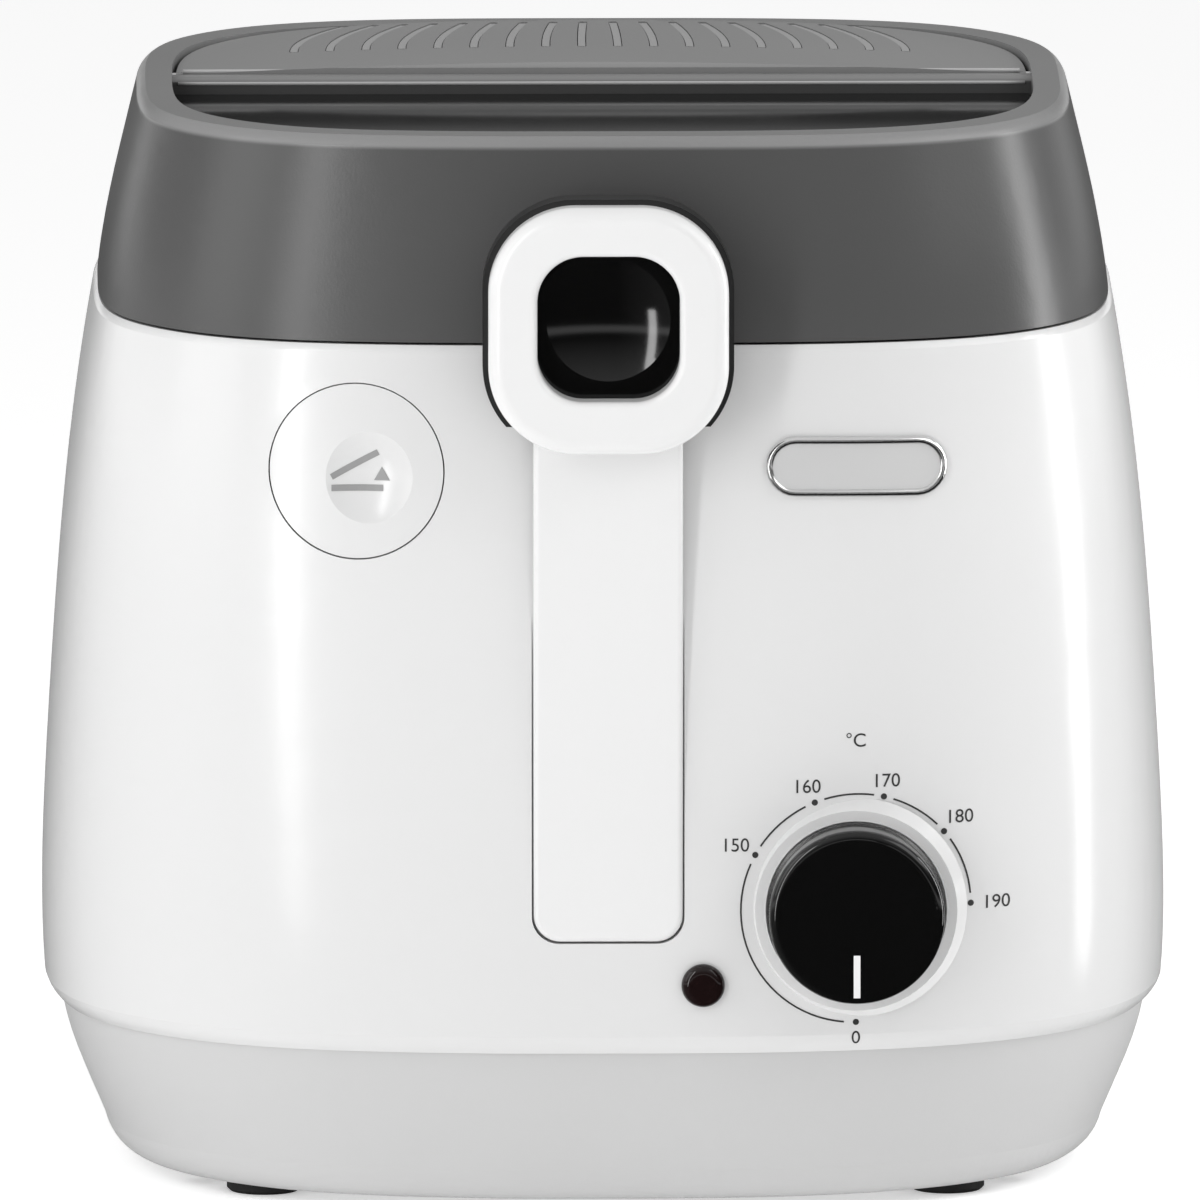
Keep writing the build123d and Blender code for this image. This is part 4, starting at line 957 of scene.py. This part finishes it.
# %% [markdown]
# Two slim pale bars paint the highlights that catch the light across the lid: one along the front of the
# cross bar and one along the front of the filter cover. A bevel on the imported mesh would change it, so
# each painted highlight is a thin bar.

# %% Painted highlights along the lid


def highlight_bar(name, half, y, z, radius, body):
    """A straight slim pale bar with round ends across the lid, a painted highlight."""
    mesh = bmesh.new()
    path = [Vector((half * (step / 12 - 1), y, z)) for step in range(25)]
    add_wire(mesh, path, radius, sides=10)
    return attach(built(name, mesh, highlight_grey), body)


END_ROOM = 1.2 * MM
deck_half, bar_front = (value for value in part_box("window_pane")[1][:2])
bar_half = deck_half - END_ROOM
cover_half = bar_half - END_ROOM
cover_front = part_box("filter_cover")[0][1]
# Painted highlights: pale bars where the light catches the front edges of the cross bar and the filter
# cover.
highlight_bar("bar_painted_highlight", bar_half, bar_front + 0.55 * MM, lid_high - 3.2 * MM, 0.5 * MM, "lid")
highlight_bar("cover_painted_highlight", cover_half, cover_front + 0.55 * MM, lid_high - 1.15 * MM, 0.55 * MM, "filter_cover")
print("edge lengths", round(2 * bar_half, 4), "and", round(2 * cover_half, 4))

# %% [markdown]
# ## Studio
#
# A pale floor lies under the object. It gives off a little light of its own, which lifts it to the white of
# a product studio without burning out the shadow, and it is hidden from reflections so that the glossy
# front doesn't mirror it.

# %% Floor
HALF_FLOOR = 12.0
FLOOR_GLOW = 0.36
floor_material, _, floor_shader = new_material("studio_floor")
floor_shader.inputs["Base Color"].default_value = (*grey(0.93), 1.0)
floor_shader.inputs["Roughness"].default_value = 0.9
floor_shader.inputs["Specular IOR Level"].default_value = 0.1
floor_shader.inputs["Emission Color"].default_value = (*grey(1.0), 1.0)
floor_shader.inputs["Emission Strength"].default_value = FLOOR_GLOW
floor_mesh = bpy.data.meshes.new("studio_floor")
floor_corners = [(HALF_FLOOR * x, HALF_FLOOR * y, 0) for x, y in ((-1, -1), (1, -1), (1, 1), (-1, 1))]
floor_mesh.from_pydata(floor_corners, [], [(0, 1, 2, 3)])
studio_floor = in_scene("studio_floor", floor_mesh, floor_material)
studio_floor.visible_glossy = False
print("floor", 2 * HALF_FLOOR, "m square")

# %% [markdown]
# The sky is bright overhead and dark near the horizon, so that glossy black pieces and the window stay deep.
# It could be an image, but three ramps along the view direction are enough: one for the height, one for a
# soft glow on the left, and a narrow one that lights the horizon as a far white wall would.

# %% Sky
world = bpy.data.worlds.new("studio_sky")
world.use_nodes = True
bpy.context.scene.world = world
sky = world.node_tree
background = sky.nodes["Background"]
direction = add_node(sky, "ShaderNodeTexCoord")
split = add_node(sky, "ShaderNodeSeparateXYZ")
sky.links.new(direction.outputs["Generated"], split.inputs["Vector"])


def ramp(axis, start, end, low, high):
    """A share of the sky's strength that changes along one axis of the view direction."""
    node = add_node(sky, "ShaderNodeMapRange", From_Min=start, From_Max=end, To_Min=low, To_Max=high)
    sky.links.new(split.outputs[axis], node.inputs["Value"])
    return node.outputs["Result"]


def joined(first, second, operation):
    """Two values put together by one operation."""
    node = add_node(sky, "ShaderNodeMath", operation=operation)
    sky.links.new(first, node.inputs[0])
    sky.links.new(second, node.inputs[1])
    return node.outputs["Value"]


overhead = ramp("Z", 0.12, 0.80, 0.02, 0.72)
left_glow = ramp("X", -0.9, -0.1, 0.22, 0.0)
horizon = joined(ramp("Z", 0.02, 0.07, 1.0, 0.0), ramp("Z", -0.07, -0.02, 0.0, 1.0), "MULTIPLY")
strength = joined(joined(overhead, left_glow, "ADD"), horizon, "ADD")
sky.links.new(strength, background.inputs["Strength"])
background.inputs["Color"].default_value = (*grey(1.0), 1.0)
print("sky parts", len(sky.nodes))

# %% [markdown]
# Tall soft boxes at both sides draw the bright bands down the body and the lid. Area lights do this better
# than lamps or a sun, since their own shape is what the gloss shows. The camera itself doesn't see them.

# %% Soft boxes
LIT_PLACE = Vector((0, 0, 0.12))


def outward(turn, rise):
    """A direction away from the object: degrees round from the front, and degrees up."""
    turn, rise = math.radians(turn), math.radians(rise)
    return Vector((math.sin(turn) * math.cos(rise), -math.cos(turn) * math.cos(rise), math.sin(rise)))


def soft_box(name, azimuth, elevation, distance, width, height, power):
    """An area light that faces the object from a direction, in degrees from the front."""
    lamp = bpy.data.lights.new(name, "AREA")
    lamp.shape = "RECTANGLE"
    lamp.size = width
    lamp.size_y = height
    lamp.energy = power
    holder = bpy.data.objects.new(name, lamp)
    bpy.context.scene.collection.objects.link(holder)
    way = outward(azimuth, elevation)
    holder.location = LIT_PLACE + way * distance
    holder.rotation_euler = (-way).to_track_quat("-Z", "Y").to_euler()
    holder.visible_camera = False


soft_box("key_box", -32, 14, 1.3, 0.14, 1.2, 4.6)
soft_box("wash_box", -68, 24, 1.4, 0.8, 1.0, 3.2)
soft_box("fill_box", 62, 38, 1.4, 0.9, 0.8, 3.9)
soft_box("rim_box", 96, 10, 1.3, 0.20, 1.2, 7.6)
print("soft boxes", len(bpy.data.lights))

# %% [markdown]
# The camera stands far away with a very long lens, almost square to the front and nine degrees above it, so
# lines that are parallel on the object stay parallel. The Standard transform keeps white plastic white.

# %% Camera
AIM = Vector((-0.0005, 0.0, 0.1324))
DISTANCE = 12.06
AZIMUTH, ELEVATION = -0.7, 9.0
camera_data = bpy.data.cameras.new("camera")
camera_data.sensor_width = 36.0
camera_data.lens = 1500.0
camera_data.clip_end = 100.0
camera = bpy.data.objects.new("camera", camera_data)
bpy.context.scene.collection.objects.link(camera)
back = outward(AZIMUTH, ELEVATION)
camera.location = AIM + back * DISTANCE
camera.rotation_euler = (-back).to_track_quat("-Z", "Y").to_euler()
bpy.context.scene.camera = camera
bpy.context.scene.view_settings.view_transform = "Standard"
print("camera", [round(v, 3) for v in camera.location])
